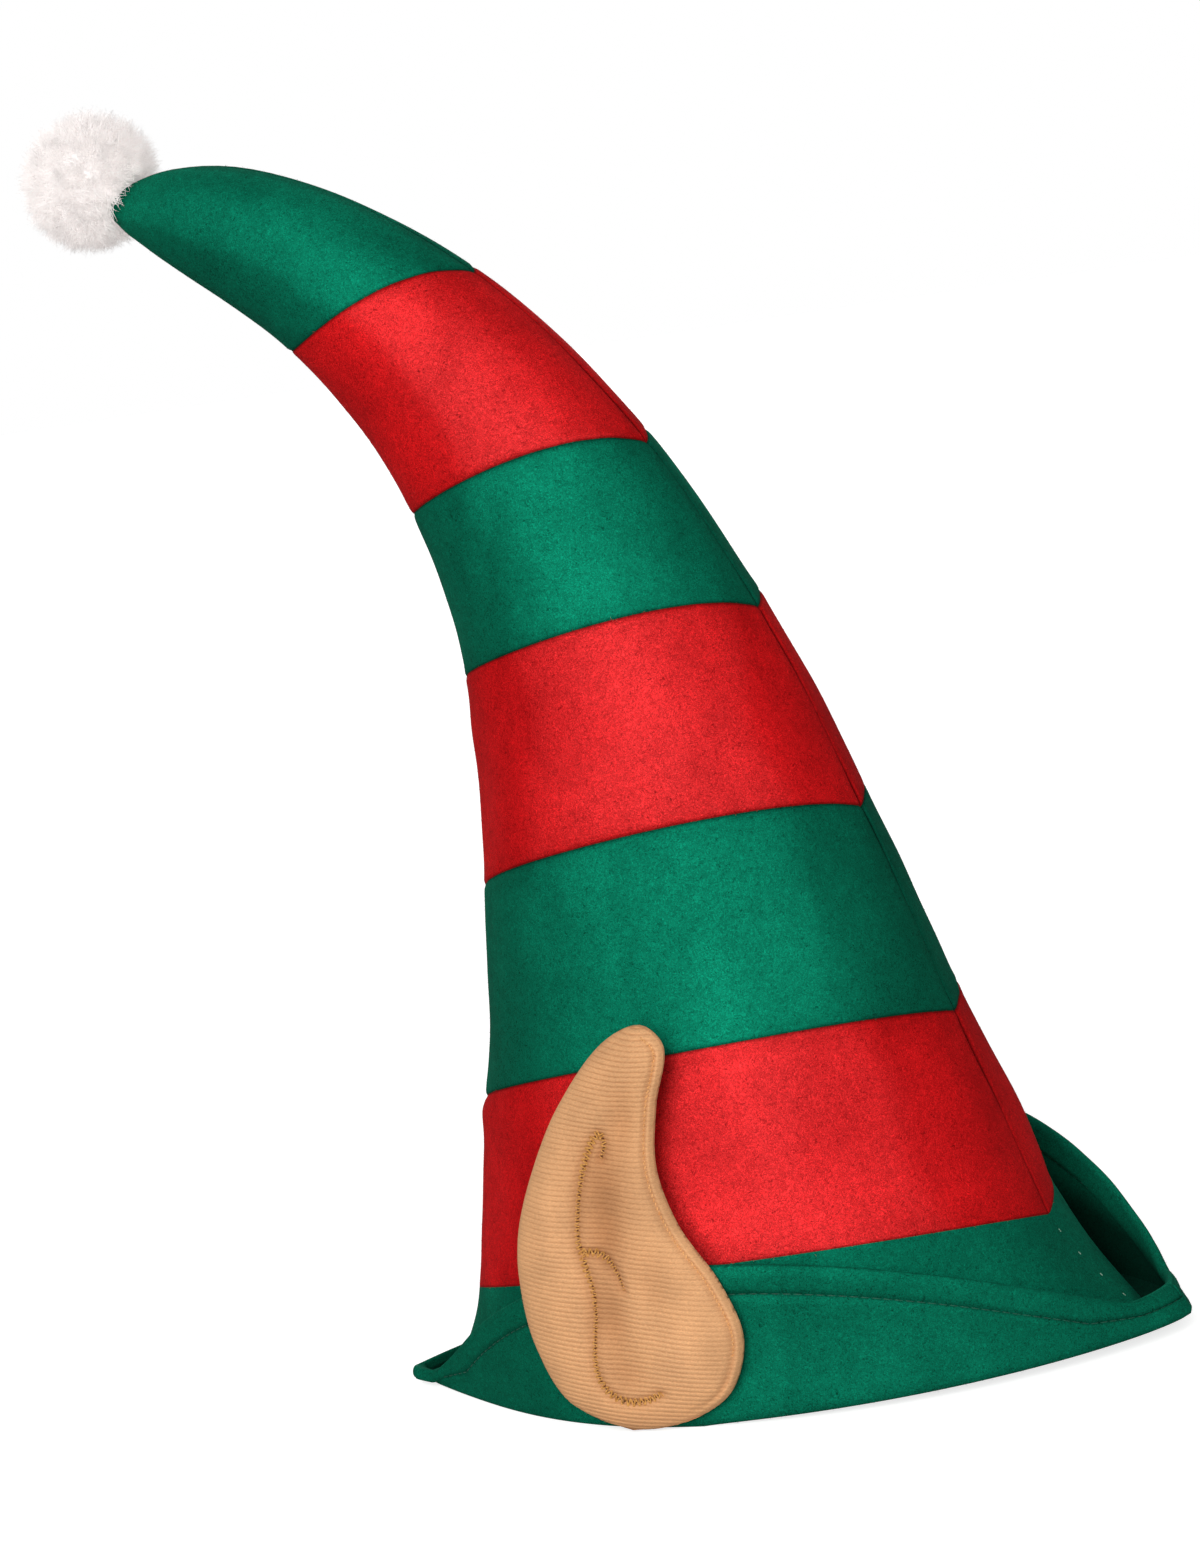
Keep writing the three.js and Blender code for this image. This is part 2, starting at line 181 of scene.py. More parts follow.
# The ear's two edges from its bottom to its tip, as shares of its width and height
EAR_BACK_EDGE = [
    {"across": 0.49, "up": 0.0},
    {"across": 0.16, "up": 0.072},
    {"across": 0.03, "up": 0.22},
    {"across": 0.0, "up": 0.38},
    {"across": 0.03, "up": 0.53},
    {"across": 0.12, "up": 0.68},
    {"across": 0.245, "up": 0.817},
    {"across": 0.455, "up": 0.958},
    {"across": 0.64, "up": 1.0},
]
EAR_FRONT_EDGE = [
    {"across": 0.75, "up": 0.94},
    {"across": 0.7, "up": 0.8},
    {"across": 0.685, "up": 0.65},
    {"across": 0.77, "up": 0.51},
    {"across": 0.93, "up": 0.36},
    {"across": 1.0, "up": 0.21},
    {"across": 0.87, "up": 0.065},
]

# Hollows and puffs of the ear's cushion: middle, reach of each in shares, outward height in mm
EAR_PUFFS = [
    {"across": 0.46, "up": 0.61, "wide": 0.110, "tall": 0.13, "out": -3.0},
    {"across": 0.47, "up": 0.48, "wide": 0.090, "tall": 0.07, "out": -1.8},
    {"across": 0.44, "up": 0.30, "wide": 0.080, "tall": 0.11, "out": -2.4},
    {"across": 0.47, "up": 0.15, "wide": 0.100, "tall": 0.05, "out": -1.4},
    {"across": 0.21, "up": 0.55, "wide": 0.080, "tall": 0.16, "out": 1.0},
    {"across": 0.74, "up": 0.20, "wide": 0.120, "tall": 0.10, "out": 1.5},
    {"across": 0.59, "up": 0.31, "wide": 0.050, "tall": 0.05, "out": 0.9},
    {"across": 0.66, "up": 0.37, "wide": 0.070, "tall": 0.09, "out": -0.9},
    {"across": 0.40, "up": 0.80, "wide": 0.090, "tall": 0.035, "out": 0.9},
    {"across": 0.57, "up": 0.78, "wide": 0.070, "tall": 0.08, "out": -1.6},
]

# The embroidered line from its hook at the top to its curl at the bottom, and its branch. Widths are
# those of the satin stitch in mm.
EMBROIDERED_LINE = [
    {"across": 0.457, "up": 0.691, "width": 0.9},
    {"across": 0.475, "up": 0.720, "width": 1.6},
    {"across": 0.460, "up": 0.750, "width": 2.2},
    {"across": 0.430, "up": 0.737, "width": 2.6},
    {"across": 0.386, "up": 0.686, "width": 2.2},
    {"across": 0.354, "up": 0.619, "width": 1.4},
    {"across": 0.339, "up": 0.545, "width": 1.5},
    {"across": 0.337, "up": 0.484, "width": 1.8},
    {"across": 0.355, "up": 0.432, "width": 2.2},
    {"across": 0.373, "up": 0.371, "width": 1.6},
    {"across": 0.365, "up": 0.296, "width": 1.3},
    {"across": 0.343, "up": 0.217, "width": 1.5},
    {"across": 0.339, "up": 0.153, "width": 1.9},
    {"across": 0.378, "up": 0.106, "width": 2.4},
    {"across": 0.456, "up": 0.082, "width": 2.7},
    {"across": 0.545, "up": 0.084, "width": 2.4},
    {"across": 0.620, "up": 0.100, "width": 1.8},
]
EMBROIDERED_BRANCH = [
    {"across": 0.350, "up": 0.462, "width": 2.6},
    {"across": 0.410, "up": 0.460, "width": 2.6},
    {"across": 0.466, "up": 0.436, "width": 1.9},
    {"across": 0.502, "up": 0.399, "width": 1.3},
    {"across": 0.518, "up": 0.366, "width": 0.8},
]

# From the hat's middle to the frame's origin, read from where the brim's front tip and inner edge are
brim_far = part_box("brim_right")[1]
SHIFT = np.array([brim_far.x / MM - CROWN_HALF_DEPTH - FRONT_TIP["reach"], brim_far.y / MM + 0.15, 0.0])


def linear(colour):
    """The linear colour of an sRGB hex value."""
    parts = [int(colour[i : i + 2], 16) / 255 for i in (1, 3, 5)]
    return tuple(c / 12.92 if c <= 0.04045 else ((c + 0.055) / 1.055) ** 2.4 for c in parts)


def column(rows, name):
    return np.array([row[name] for row in rows], float)


def smooth_read(keys, values, at):
    """A smooth curve through the values at their keys, read at each place."""
    keys, values, at = (np.asarray(a, float) for a in (keys, values, at))
    last = len(keys) - 1
    i = np.minimum(np.searchsorted(keys[1:], at, side="left"), last - 1)
    before, after = np.maximum(i - 1, 0), np.minimum(i + 2, last)
    step = keys[i + 1] - keys[i]
    start = (values[i + 1] - values[before]) / (keys[i + 1] - keys[before]) * step
    end = (values[after] - values[i]) / (keys[after] - keys[i]) * step
    t = np.clip((at - keys[i]) / step, 0, 1)
    rise = values[i + 1] - values[i]
    return values[i] + rise * t + t * (1 - t) * ((start - rise) * (1 - t) + (rise - end) * t)


def mix(a, b, t):
    return a + (b - a) * t


def ease(low, high, at):
    """0 below low, 1 above high, and smooth between."""
    t = np.clip((at - low) / (high - low), 0, 1)
    return t * t * (3 - 2 * t)


def crowded(count, pull):
    """Shares from 0 to 1 that lie closer together near both ends."""
    t = np.linspace(-1, 1, count)
    return (np.tanh(pull * t) / np.tanh(pull) + 1) / 2


def unit(ways):
    """The ways made one long."""
    return ways / np.maximum(np.linalg.norm(ways, axis=-1, keepdims=True), 1e-12)


def normals_of(grid):
    """Unit normals of a grid of points, to the side that the grid's rows and columns give."""
    return unit(np.cross(np.gradient(grid, axis=0), np.gradient(grid, axis=1)))


def travelled(line):
    """How far along the line each of its points is."""
    return np.concatenate([[0], np.cumsum(np.linalg.norm(np.diff(line, axis=0), axis=1))])


def read_along(line, far, at):
    """The line's values at the distances asked for, where far says how far along it each value is."""
    return np.stack([np.interp(at, far, line[:, k]) for k in range(line.shape[1])], -1)


def on_side(points, side):
    """Points of the wearer's right side on the side asked for, in metres of the frame."""
    return (points * np.array([1, 1 if side == "right" else -1, 1]) + SHIFT) * MM


def mesh_object(name, points, faces, finish, sharp=60, marks=None):
    """A closed mesh with its faces turned out, in the scene and with its finish.

    marks holds values of each point, from 0 to 1, that its finish reads: how much painted shade it gets in a
    seam, a fold, the brim's channel or between ribs;
    how far it lies in the band down each panel that is painted lighter and glossier as a highlight; and
    hollow, how far it is pressed in, painted as shade, or puffs out, painted as highlight.
    """
    data = bpy.data.meshes.new(name)
    data.from_pydata(np.asarray(points, float).tolist(), [], [list(map(int, face)) for face in faces])
    data.validate()
    data.calc_loop_triangles()
    corners = np.array([tri.vertices for tri in data.loop_triangles])
    co = np.array([v.co for v in data.vertices])
    a, b, c = (co[corners[:, k]] for k in range(3))
    if np.einsum("ij,ij->", a, np.cross(b, c)) < 0:
        data.flip_normals()
    data.shade_smooth()
    data.set_sharp_from_angle(angle=math.radians(sharp))
    data.materials.append(finish)
    for mark, values in (marks or {}).items():
        layer = data.attributes.new(mark, "FLOAT", "POINT")
        layer.data.foreach_set("value", np.asarray(values, float).ravel())
    made = bpy.data.objects.new(name, data)
    bpy.context.scene.collection.objects.link(made)
    return made


def slab(outer, inner):
    """Points and faces of a closed wall between two grids of the same layout."""
    rows, columns = outer.shape[:2]
    index = np.arange(2 * rows * columns).reshape(2, rows, columns)

    def quads(a):
        return np.stack([a[:-1, :-1], a[:-1, 1:], a[1:, 1:], a[1:, :-1]], -1).reshape(-1, 4)

    def rim(a):
        return np.concatenate([a[0, :], a[1:, -1], a[-1, -2::-1], a[-2:0:-1, 0]])

    over, under = rim(index[0]), rim(index[1])
    strip = np.stack([np.roll(over, -1), over, under, np.roll(under, -1)], -1)
    faces = np.concatenate([quads(index[0]), quads(index[1])[:, ::-1], strip])
    return np.concatenate([outer.reshape(-1, 3), inner.reshape(-1, 3)]), faces


def ring_quads(index):
    """Faces between neighbouring rings of points, each ring closed on itself."""
    near, far = index[:-1], index[1:]
    return np.stack([near, np.roll(near, -1, 1), np.roll(far, -1, 1), far], -1).reshape(-1, 4)


def tubes(lines, radii, sides):
    """Points and faces of closed tubes along lines with equal numbers of points, with a radius at each."""
    count, steps = lines.shape[:2]
    along = unit(np.gradient(lines, axis=1))
    helper = np.where(np.abs(along[..., 2:3]) < 0.8, np.array([0.0, 0, 1]), np.array([1.0, 0, 0]))
    side_way = unit(np.cross(along, helper))
    other_way = np.cross(along, side_way)
    turn = 2 * np.pi * np.arange(sides) / sides
    ring = np.cos(turn)[:, None] * side_way[:, :, None] + np.sin(turn)[:, None] * other_way[:, :, None]
    points = lines[:, :, None] + ring * np.asarray(radii)[..., None, None]
    index = np.arange(count * steps * sides).reshape(count, steps, sides)
    near, far = index[:, :-1], index[:, 1:]
    walls = np.stack([near, np.roll(near, -1, 2), np.roll(far, -1, 2), far], -1).reshape(-1, 4)
    faces = walls.tolist() + index[:, 0, ::-1].tolist() + index[:, -1].tolist()
    return points.reshape(-1, 3), faces


def settle(piece, slot, nodes=()):
    """The piece rides on the hat, stands for its solids and takes its finish from the slot."""
    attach(piece, "root")
    if nodes:
        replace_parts(piece, *nodes)
    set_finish(piece, slot)
    return piece


# Crown


def spine():
    """The crown's spine from the head opening to the tip: shares, x and z."""
    steps = 400
    shares = (np.arange(steps) + 0.5) / steps
    lean = np.radians(smooth_read(column(CROWN_ROWS, "along"), column(CROWN_ROWS, "lean"), shares))
    step = CROWN_LENGTH / steps
    x = np.concatenate([[0], -np.cumsum(np.sin(lean)) * step])
    z = np.concatenate([[0], np.cumsum(np.cos(lean)) * step]) + CROWN_BASE_HEIGHT
    return np.arange(steps + 1) / steps, x, z


SPINE = spine()


def crown_point(along, around, inset=0.0):
    """A point of the crown's right panel; around runs 0 to 1 from the front seam to the back seam."""
    keys = column(CROWN_ROWS, "along")
    lean = np.radians(smooth_read(keys, column(CROWN_ROWS, "lean"), along))
    half_depth = CROWN_HALF_DEPTH * smooth_read(keys, column(CROWN_ROWS, "girth"), along)
    half_width = half_depth * mix(BASE_ROUNDNESS, TIP_ROUNDNESS, np.clip(along, 0, 1))
    forward = (half_depth - inset) * np.cos(np.pi * around)
    outward = (half_width - inset) * np.sin(np.pi * around)
    x = np.interp(along, SPINE[0], SPINE[1]) + forward * np.cos(lean)
    z = np.interp(along, SPINE[0], SPINE[2]) + forward * np.sin(lean)
    return np.stack([x, -outward, z], -1)


def seam_share(seam, around):
    """A seam's share of the crown's length round the panel."""
    t = around
    near_front, near_side, near_back = (1 - t) * (1 - 2 * t), 4 * t * (1 - t), t * (2 * t - 1)
    return seam["front"] * near_front + seam["side"] * near_side + seam["back"] * near_back


def crown_relief(along, around, side):
    """How far the felt stands out of the smooth crown: swells, and waves that differ on the two sides."""
    out = np.zeros(np.broadcast(along, around).shape)
    for swell in CROWN_SWELLS:
        up, across = (along - swell["along"]) / swell["long"], (around - swell["around"]) / swell["wide"]
        out += swell["out"] * np.exp(-(up**2 + across**2))
    phase = 0.0 if side == "right" else 2.1
    wave = np.sin(31 * along + 5 * around + phase) * np.sin(7 * around + 9 * along + 1.3 * phase)
    ripple = np.sin(83 * along - 11 * around + phase) * np.sin(23 * around + 2 * phase + 17 * along)
    thin = smooth_read(column(CROWN_ROWS, "along"), column(CROWN_ROWS, "girth"), along)
    return (out + 0.55 * wave + 0.16 * ripple) * np.clip(thin * 1.4, 0, 1)


def stripe_sheets(lower, upper, side, seam_depth, seam_reach):
    """The outer and inner faces of half a stripe, pulled in where it is sewn."""
    around = crowded(84, 1.9)[:, None]
    low = seam_share(lower, around) + 0.02 / CROWN_LENGTH
    high = seam_share(upper, around) - (0 if upper is CROWN_TOP else 0.02 / CROWN_LENGTH)
    up = crowded(38, 1.8)[None, :]
    along = mix(low, high, up)
    girth = CROWN_HALF_DEPTH * smooth_read(column(CROWN_ROWS, "along"), column(CROWN_ROWS, "girth"), along)
    from_low = (along - low) * CROWN_LENGTH
    from_high = (high - along) * CROWN_LENGTH if upper is not CROWN_TOP else np.full(along.shape, 99.0)
    from_side_seam = np.minimum(around, 1 - around) * np.pi * girth
    pull = seam_depth * (
        np.exp(-((from_low / seam_reach) ** 2)) * (lower is not STRIPES[0])
        + np.exp(-((from_high / seam_reach) ** 2))
        + np.exp(-((from_side_seam / seam_reach) ** 2))
    )
    small = np.clip(girth / 12, 0, 1)
    pull = np.minimum(pull, seam_depth * 1.3) * small
    from_seam = np.minimum(from_low, from_high)
    pucker = 0.12 * np.sin(girth * np.pi * around / 2.3) * np.exp(-((from_seam / 6) ** 2))
    relief = crown_relief(along, around, side) * ease(0, 9, from_seam + 3) + pucker * small
    if lower is STRIPES[0]:
        relief = relief * ease(0, 12, from_low)
    outer = crown_point(along, around, pull - relief)
    inner = crown_point(along, around, FELT_WALL * small - relief + 0.3 * pull)
    # Painted shade along the seams: strong within about 0.6 mm of a seam and faint out to about 5 mm
    nearest = np.minimum(from_seam, from_side_seam)
    crease = 0.72 * np.exp(-((nearest / 0.6) ** 2)) + 0.1 * np.exp(-((nearest / 5) ** 2))
    # Painted highlight: the panel between the band's front and back edges is painted lighter and glossier
    keys = column(HIGHLIGHT_BAND, "along")
    front, back = (smooth_read(keys, column(HIGHLIGHT_BAND, edge), along) for edge in ("front", "back"))
    waver = 0.012 * np.sin(61 * along) + around
    highlight_band = ease(front - 0.03, front + 0.03, waver) * ease(back + 0.03, back - 0.03, waver)
    return outer, inner, {"crease": np.stack([crease] * 2), "highlight_band": np.stack([highlight_band] * 2)}


# Brim


def tip_column(around, name):
    """A setting of the brim's front or back tip at each station."""
    return np.where(around < 0.5, FRONT_TIP[name], BACK_TIP[name])


def fold_edge(around, cuff):
    """The outer edge of the brim's fold, seen from above, and its height over the floor."""
    tip_share = np.abs(np.cos(np.pi * around))
    x = (CROWN_HALF_DEPTH + tip_column(around, "reach")) * np.cos(np.pi * around)
    y = -BRIM_HALF_WIDTH * np.maximum(np.sin(np.pi * around), 0) ** BRIM_POINTEDNESS
    aside = tip_column(around, "sideways") * tip_share**SIDEWAYS_CURVE * cuff["towards"]
    lifted = np.clip((tip_share - LIFT_START) / (1 - LIFT_START), 0, 1)
    return x, y - aside, tip_column(around, "lift") * lifted**LIFT_CURVE


def brim_profile(around, cuff):
    """The middle of the felt across the brim at each station, and the wall's two sides.

    Returns the crown's edge, the way out of it, and out, z, outer and inner for each point of the section.
    """
    tip_share = np.abs(np.cos(np.pi * around))
    top = crown_point(seam_share(STRIPES[0], around), around)
    fold_x, fold_y, fold_z = fold_edge(around, cuff)
    span = np.stack([fold_x - top[:, 0], fold_y - top[:, 1]], -1)
    length = np.linalg.norm(span, axis=1)
    way = span / length[:, None]
    half = FELT_WALL / 2
    foot_out = length * mix(STRIP_FOOT_SHARE["side"], STRIP_FOOT_SHARE["tip"], tip_share)
    cuff_out = length - half
    floor = fold_z + half
    foot = floor + FOLD_ROUND
    fallen = np.minimum(tip_share / tip_column(around, "low_from"), 1) ** tip_column(around, "cuff_fall")
    hem_top = fold_z + mix(float(cuff["height"]), tip_column(around, "cuff_height"), fallen)
    hem = np.minimum(HEM_WIDTH, (hem_top - foot) * HEM_SHARE_OF_LOW_CUFF)
    splay = tip_column(around, "splay") * tip_share ** tip_column(around, "splay_curve")

    def flare(z):
        rise = np.maximum(z - foot, 0)
        flared = cuff["flare"] * (rise / (cuff["height"] - foot)) ** CUFF_FLARE_CURVE
        return flared + splay * rise / (hem_top - foot)

    rows = []

    def add(out, z, outer, inner):
        rows.append([np.broadcast_to(v, around.shape) for v in (out, z, outer, inner)])

    for down in np.linspace(0, 1, 11):
        droop = 1.3 * np.sin(np.pi * down) * ease(0.2, 0.9, tip_share)
        add(mix(-half, foot_out, down**STRIP_FLARE), mix(top[:, 2], foot, down) - droop, half, half)
    add(foot_out + 0.3 * FOLD_CORNER, mix(foot, floor, 0.75), half, half)
    for share in (0, 0.35, 0.65, 1):
        add(mix(foot_out + FOLD_CORNER, cuff_out - FOLD_CORNER, share), floor, half, half)
    add(cuff_out - 0.3 * FOLD_CORNER, mix(foot, floor, 0.75), half, half)
    hem_low = hem_top - hem
    for share in np.linspace(0, 1, 13):
        z = mix(foot, hem_low - 0.12 * hem, share)
        belly = 0.9 * np.sin(np.pi * share) * ease(0, 30, hem_low - foot)
        add(cuff_out + flare(z) - belly, z, half, half)
    dip = 0.85 * ease(2, 6, hem)
    add(cuff_out + flare(hem_low), hem_low - 0.05 * hem, half - dip * 0.5, half + 0.2)
    add(cuff_out + flare(hem_low), hem_low, half - dip, half + 0.5)
    add(cuff_out + flare(hem_low), hem_low + 0.06 * hem, half - dip * 0.4, half + FELT_WALL * 0.9)
    for share in (0.2, 0.4, 0.6, 0.76):
        z = mix(hem_low, hem_top, share)
        add(cuff_out + flare(z), z, half + 0.5 * np.sin(np.pi * share), half + FELT_WALL)
    roll = np.minimum(2.0, 0.24 * hem)
    for angle in (0, 28, 52, 70, 84):
        c, s = math.cos(math.radians(angle)), math.sin(math.radians(angle))
        z = hem_top - roll + roll * s
        add(cuff_out + flare(z), z, half * (2 * c - 1), half * (2 * c + 1))
    return top, way, np.array(rows).transpose(2, 1, 0)


# The points of the section where the cuff starts and where its hem is stitched
CUFF_START, STITCHED_POINT = 12, 31


def brim_relief(around, z, side):
    """Slow waves of the cuff's felt."""
    phase = 0.4 if side == "right" else 1.9
    wave = np.sin(9 * around + z / 31 + phase) * np.sin(21 * around - z / 17 + 2 * phase)
    return 0.5 * wave + 0.18 * np.sin(57 * around + z / 9 + phase)


def brim_marks(section):
    """How much painted shade each point of the brim gets: in the hem's groove, and on its inner face more the
    deeper it lies in the channel.
    """
    z = section[:, 1]
    hem_top, floor = z[:, -1:], z[:, CUFF_START : CUFF_START + 1]
    groove = np.zeros(z.shape)
    groove[:, STITCHED_POINT - 1 : STITCHED_POINT + 2] = 0.25, 0.65, 0.3
    below = hem_top - z
    on_cuff = ease(0.12, 0.5, below / (hem_top - floor))
    on_strip = ease(9, 24, below)
    on_cuff[:, :CUFF_START] = on_strip[:, :CUFF_START]
    crease = np.stack([groove, np.maximum(0.5 * groove, 0.95 * on_cuff)])
    # The whole brim gets 0.3 of the painted highlight band's lightness and gloss
    return {"crease": crease, "highlight_band": np.full(crease.shape, 0.3)}


def brim_sheets(around, side):
    """The outer and inner faces of half the brim."""
    top, way, section = brim_profile(around, CUFFS[side])
    out, z, outer, inner = (section[:, k] for k in range(4))
    line = np.stack([out, z], -1)
    along = unit(np.gradient(line, axis=1))
    normal = np.stack([-along[..., 1], along[..., 0]], -1)
    normal[:, 0] = [1, 0]
    waves = brim_relief(around[:, None], z, side) * ease(3, 14, z) * ease(0, 8, np.abs(z - top[:, 2:3]))
    waves = waves * ease(0.0, 0.06, np.minimum(around, 1 - around))[:, None]
    faces = []
    for offset in (-outer, inner):
        moved = line + normal * offset[..., None]
        moved[..., 0] += waves
        x = top[:, 0:1] + way[:, 0:1] * moved[..., 0]
        y = top[:, 1:2] + way[:, 1:2] * moved[..., 0]
        faces.append(np.stack([x, y, moved[..., 1]], -1))
    return *faces, brim_marks(section)


# Ears


def ear_ring():
    """The ear's outline as a smooth closed line, from its bottom up the back edge and down the front."""
    rows = EAR_BACK_EDGE + EAR_FRONT_EDGE
    points = np.stack([EAR_BACK_X + column(rows, "across") * EAR_WIDTH, column(rows, "up") * EAR_HEIGHT], -1)
    looped = np.concatenate([points[-3:], points, points[:4]])
    chord = travelled(looped)
    at = np.linspace(chord[3], chord[3 + len(points)], 1201)[:-1]
    return np.stack([smooth_read(chord, looped[:, 0], at), smooth_read(chord, looped[:, 1], at)], -1)


EAR_RING = ear_ring()


def polyline(rows, count):
    """Evenly spaced points of the smooth line through the rows, the stitch's width there, and its length."""
    points = np.stack([EAR_BACK_X + column(rows, "across") * EAR_WIDTH, column(rows, "up") * EAR_HEIGHT], -1)
    chord = travelled(points)
    at = np.linspace(0, chord[-1], count)
    line = np.stack([smooth_read(chord, points[:, 0], at), smooth_read(chord, points[:, 1], at)], -1)
    return line, np.interp(at, chord, column(rows, "width")), chord[-1]


def distance_to(line, x, up):
    """The distance from each place on the ear to a line on it."""
    here = np.stack([x.ravel(), up.ravel()], -1)
    best = np.full(len(here), np.inf)
    for part in np.array_split(line, max(len(line) // 60, 1)):
        gap = here[:, None] - part[None]
        best = np.minimum(best, np.einsum("ijk,ijk->ij", gap, gap).min(1))
    return np.sqrt(best).reshape(x.shape)


def ear_padding(x, up, groove_depth, pressed=True):
    """The ear's thickness at each place, without its ribs, and with or without its hollows and grooves."""
    edge = distance_to(EAR_RING[::2], x, up)
    full = np.sqrt(np.clip(1 - (1 - np.clip(edge / 23, 0, 1)) ** 2, 0, 1))
    thick = 0.9 + 8.0 * full
    if not pressed:
        return thick
    across, share = (x - EAR_BACK_X) / EAR_WIDTH, up / EAR_HEIGHT
    for puff in EAR_PUFFS:
        far = ((across - puff["across"]) / puff["wide"]) ** 2 + ((share - puff["up"]) / puff["tall"]) ** 2
        thick += puff["out"] * np.exp(-far) * ease(0, 9, edge)
    for rows, reach in ((EMBROIDERED_LINE, 2.0), (EMBROIDERED_BRANCH, 1.6)):
        line = polyline(rows, 240)[0]
        thick -= groove_depth * np.exp(-((distance_to(line, x, up) / reach) ** 2))
    # The rolled front edge and the groove that its stitches press in
    front = ease(0.42, 0.62, across + 0.25 * ease(0.3, 0.05, share))
    front *= ease(0.02, 0.12, share) * ease(0.99, 0.93, share)
    thick -= 1.1 * front * np.exp(-(((edge - 2.6) / 0.85) ** 2))
    thick += 0.45 * front * np.exp(-(((edge - 1.2) / 0.9) ** 2))
    return thick


def ear_face(up, cuff):
    """y and z of the ear's back at a height up the ear: upright over the cuff, then leaning in."""
    lean = math.radians(EAR_LEAN)
    over = up - cuff["height"] - EAR_BEND_SOFTNESS
    bend = (over + EAR_BEND_SOFTNESS) ** 2 / (4 * EAR_BEND_SOFTNESS)
    past = np.where(over > EAR_BEND_SOFTNESS, over, bend)
    leaned = np.where(over < -EAR_BEND_SOFTNESS, 0, past)
    face = BRIM_HALF_WIDTH + EAR_CUFF_GAP + cuff["flare"] * np.minimum(up / cuff["height"], 1)
    return -face + leaned * math.sin(lean), EAR_FLOOR_GAP + up - leaned + leaned * math.cos(lean)


def ear_point(x, up, out, cuff):
    """A point that stands out of the ear's back by out."""
    y, z = ear_face(up, cuff)
    return np.stack([x, y - out, z], -1)


def ear_sheets(cuff, pitch, depth, groove_depth, slope):
    """The cushioned face of an ear, with a row of points for each sixth of a rib, and its flatter back."""
    middle = EAR_BACK_X + EAR_WIDTH / 2
    level = EAR_RING[:, 1] + slope * (EAR_RING[:, 0] - middle)
    low, high = level.argmin(), level.argmax()
    ring = np.roll(EAR_RING, -low, axis=0)
    level = np.roll(level, -low)
    top = (high - low) % len(ring)
    edges = []
    for part in (slice(0, top + 1), slice(top, None)):
        at, x = level[part], ring[part, 0]
        order = np.argsort(at)
        edges.append((at[order], x[order]))
    count = int(round((level.max() - level.min()) / pitch * 6))
    rows = np.linspace(level.min(), level.max(), count + 1)
    back, front = (np.interp(rows, at, x) for at, x in edges)
    back[0] = front[0] = ring[0, 0]
    back[-1] = front[-1] = ring[top, 0]
    across = (1 - np.cos(np.pi * np.linspace(0, 1, 73))) / 2
    x = mix(back[:, None], front[:, None], across[None])
    bow = 4 * across[None] * (1 - across[None])
    up = rows[:, None] - slope * (x - middle) + bow * 0.5 * np.sin(x / 11 + rows[:, None] / 23)
    up = np.maximum(up, 0)
    thick = ear_padding(x, up, groove_depth)
    turn = np.pi * rows[:, None] / pitch
    rib = depth * (np.abs(np.sin(turn)) ** 0.7 - 0.5) * bow**0.25
    behind = -0.5 * np.clip(1 - thick / 4, 0, 1)
    # How deep each point lies between ribs, and how far the cushion is pressed in or puffs out: the twill
    # paints these as shade and highlight
    valley_shade = (1 - np.abs(np.sin(turn))) ** 1.5 * bow**0.25
    smooth = ear_padding(x, up, 0, False)
    hollow = np.clip(0.35 + (smooth - thick) / 6, 0, 1)
    marks = {"crease": np.stack([0.75 * valley_shade, valley_shade]), "hollow": np.stack([hollow, 0.35 + 0 * hollow])}
    back = np.maximum(0, -behind) + 0.2 * np.abs(rib)
    return ear_point(x, up, thick + rib, cuff), ear_point(x, up, back, cuff), marks


# Pompom


def pompom_middle():
    """The middle of the pompom, behind and above the tip."""
    return np.array([SPINE[1][-1] - POMPOM_BEHIND_TIP, 0.0, SPINE[2][-1] + POMPOM_ABOVE_TIP])


def inside_tip(points, clear):
    """Whether each point lies in the crown's tip or within clear of it."""
    shares = np.linspace(0.86, 1, 60)
    x, z = (np.interp(shares, SPINE[0], SPINE[k]) for k in (1, 2))
    axis = np.stack([x, 0 * shares, z], -1)
    radius = CROWN_HALF_DEPTH * smooth_read(column(CROWN_ROWS, "along"), column(CROWN_ROWS, "girth"), shares)
    flat = points.reshape(-1, 3)
    gap = np.linalg.norm(flat[:, None] - axis[None], axis=-1) - radius[None]
    return (gap.min(1) < clear).reshape(points.shape[:-1])


# Materials


def node(tree, kind, inputs, stops=(), out=0, **settings):
    """Adds a node with its settings and a ramp's stops of place and linear colour, sets or links its
    inputs, and gives the output asked for."""
    made = tree.nodes.new("ShaderNode" + kind)
    for name, value in settings.items():
        setattr(made, name, value)
    for k, (place, colour) in enumerate(stops):
        elements = made.color_ramp.elements
        element = elements[k] if k < len(elements) else elements.new(place)
        element.position, element.color = place, (*colour, 1)
    for name, value in inputs.items():
        if isinstance(value, bpy.types.NodeSocket):
            tree.links.new(value, made.inputs[name])
        else:
            made.inputs[name].default_value = value
    return made.outputs[out] if len(made.outputs) else None


def new_material(name):
    """An empty material and its tree, with the place on the object in millimetres."""
    made = bpy.data.materials.new(name)
    made.use_nodes = True
    tree = made.node_tree
    tree.nodes.clear()
    where = node(tree, "TexCoord", {}, out="Object")
    return made, tree, node(tree, "VectorMath", {0: where, "Scale": 1 / MM}, operation="SCALE")


def shades(colour, *factors):
    """The colour made darker or lighter by each factor."""
    return [tuple(min(factor * part, 1) for part in colour) for factor in factors]


# How the nodes that mix colours and that multiply values are set
TINTED = {"out": 2, "data_type": "RGBA", "blend_type": "MULTIPLY"}
PRODUCT = {"operation": "MULTIPLY"}


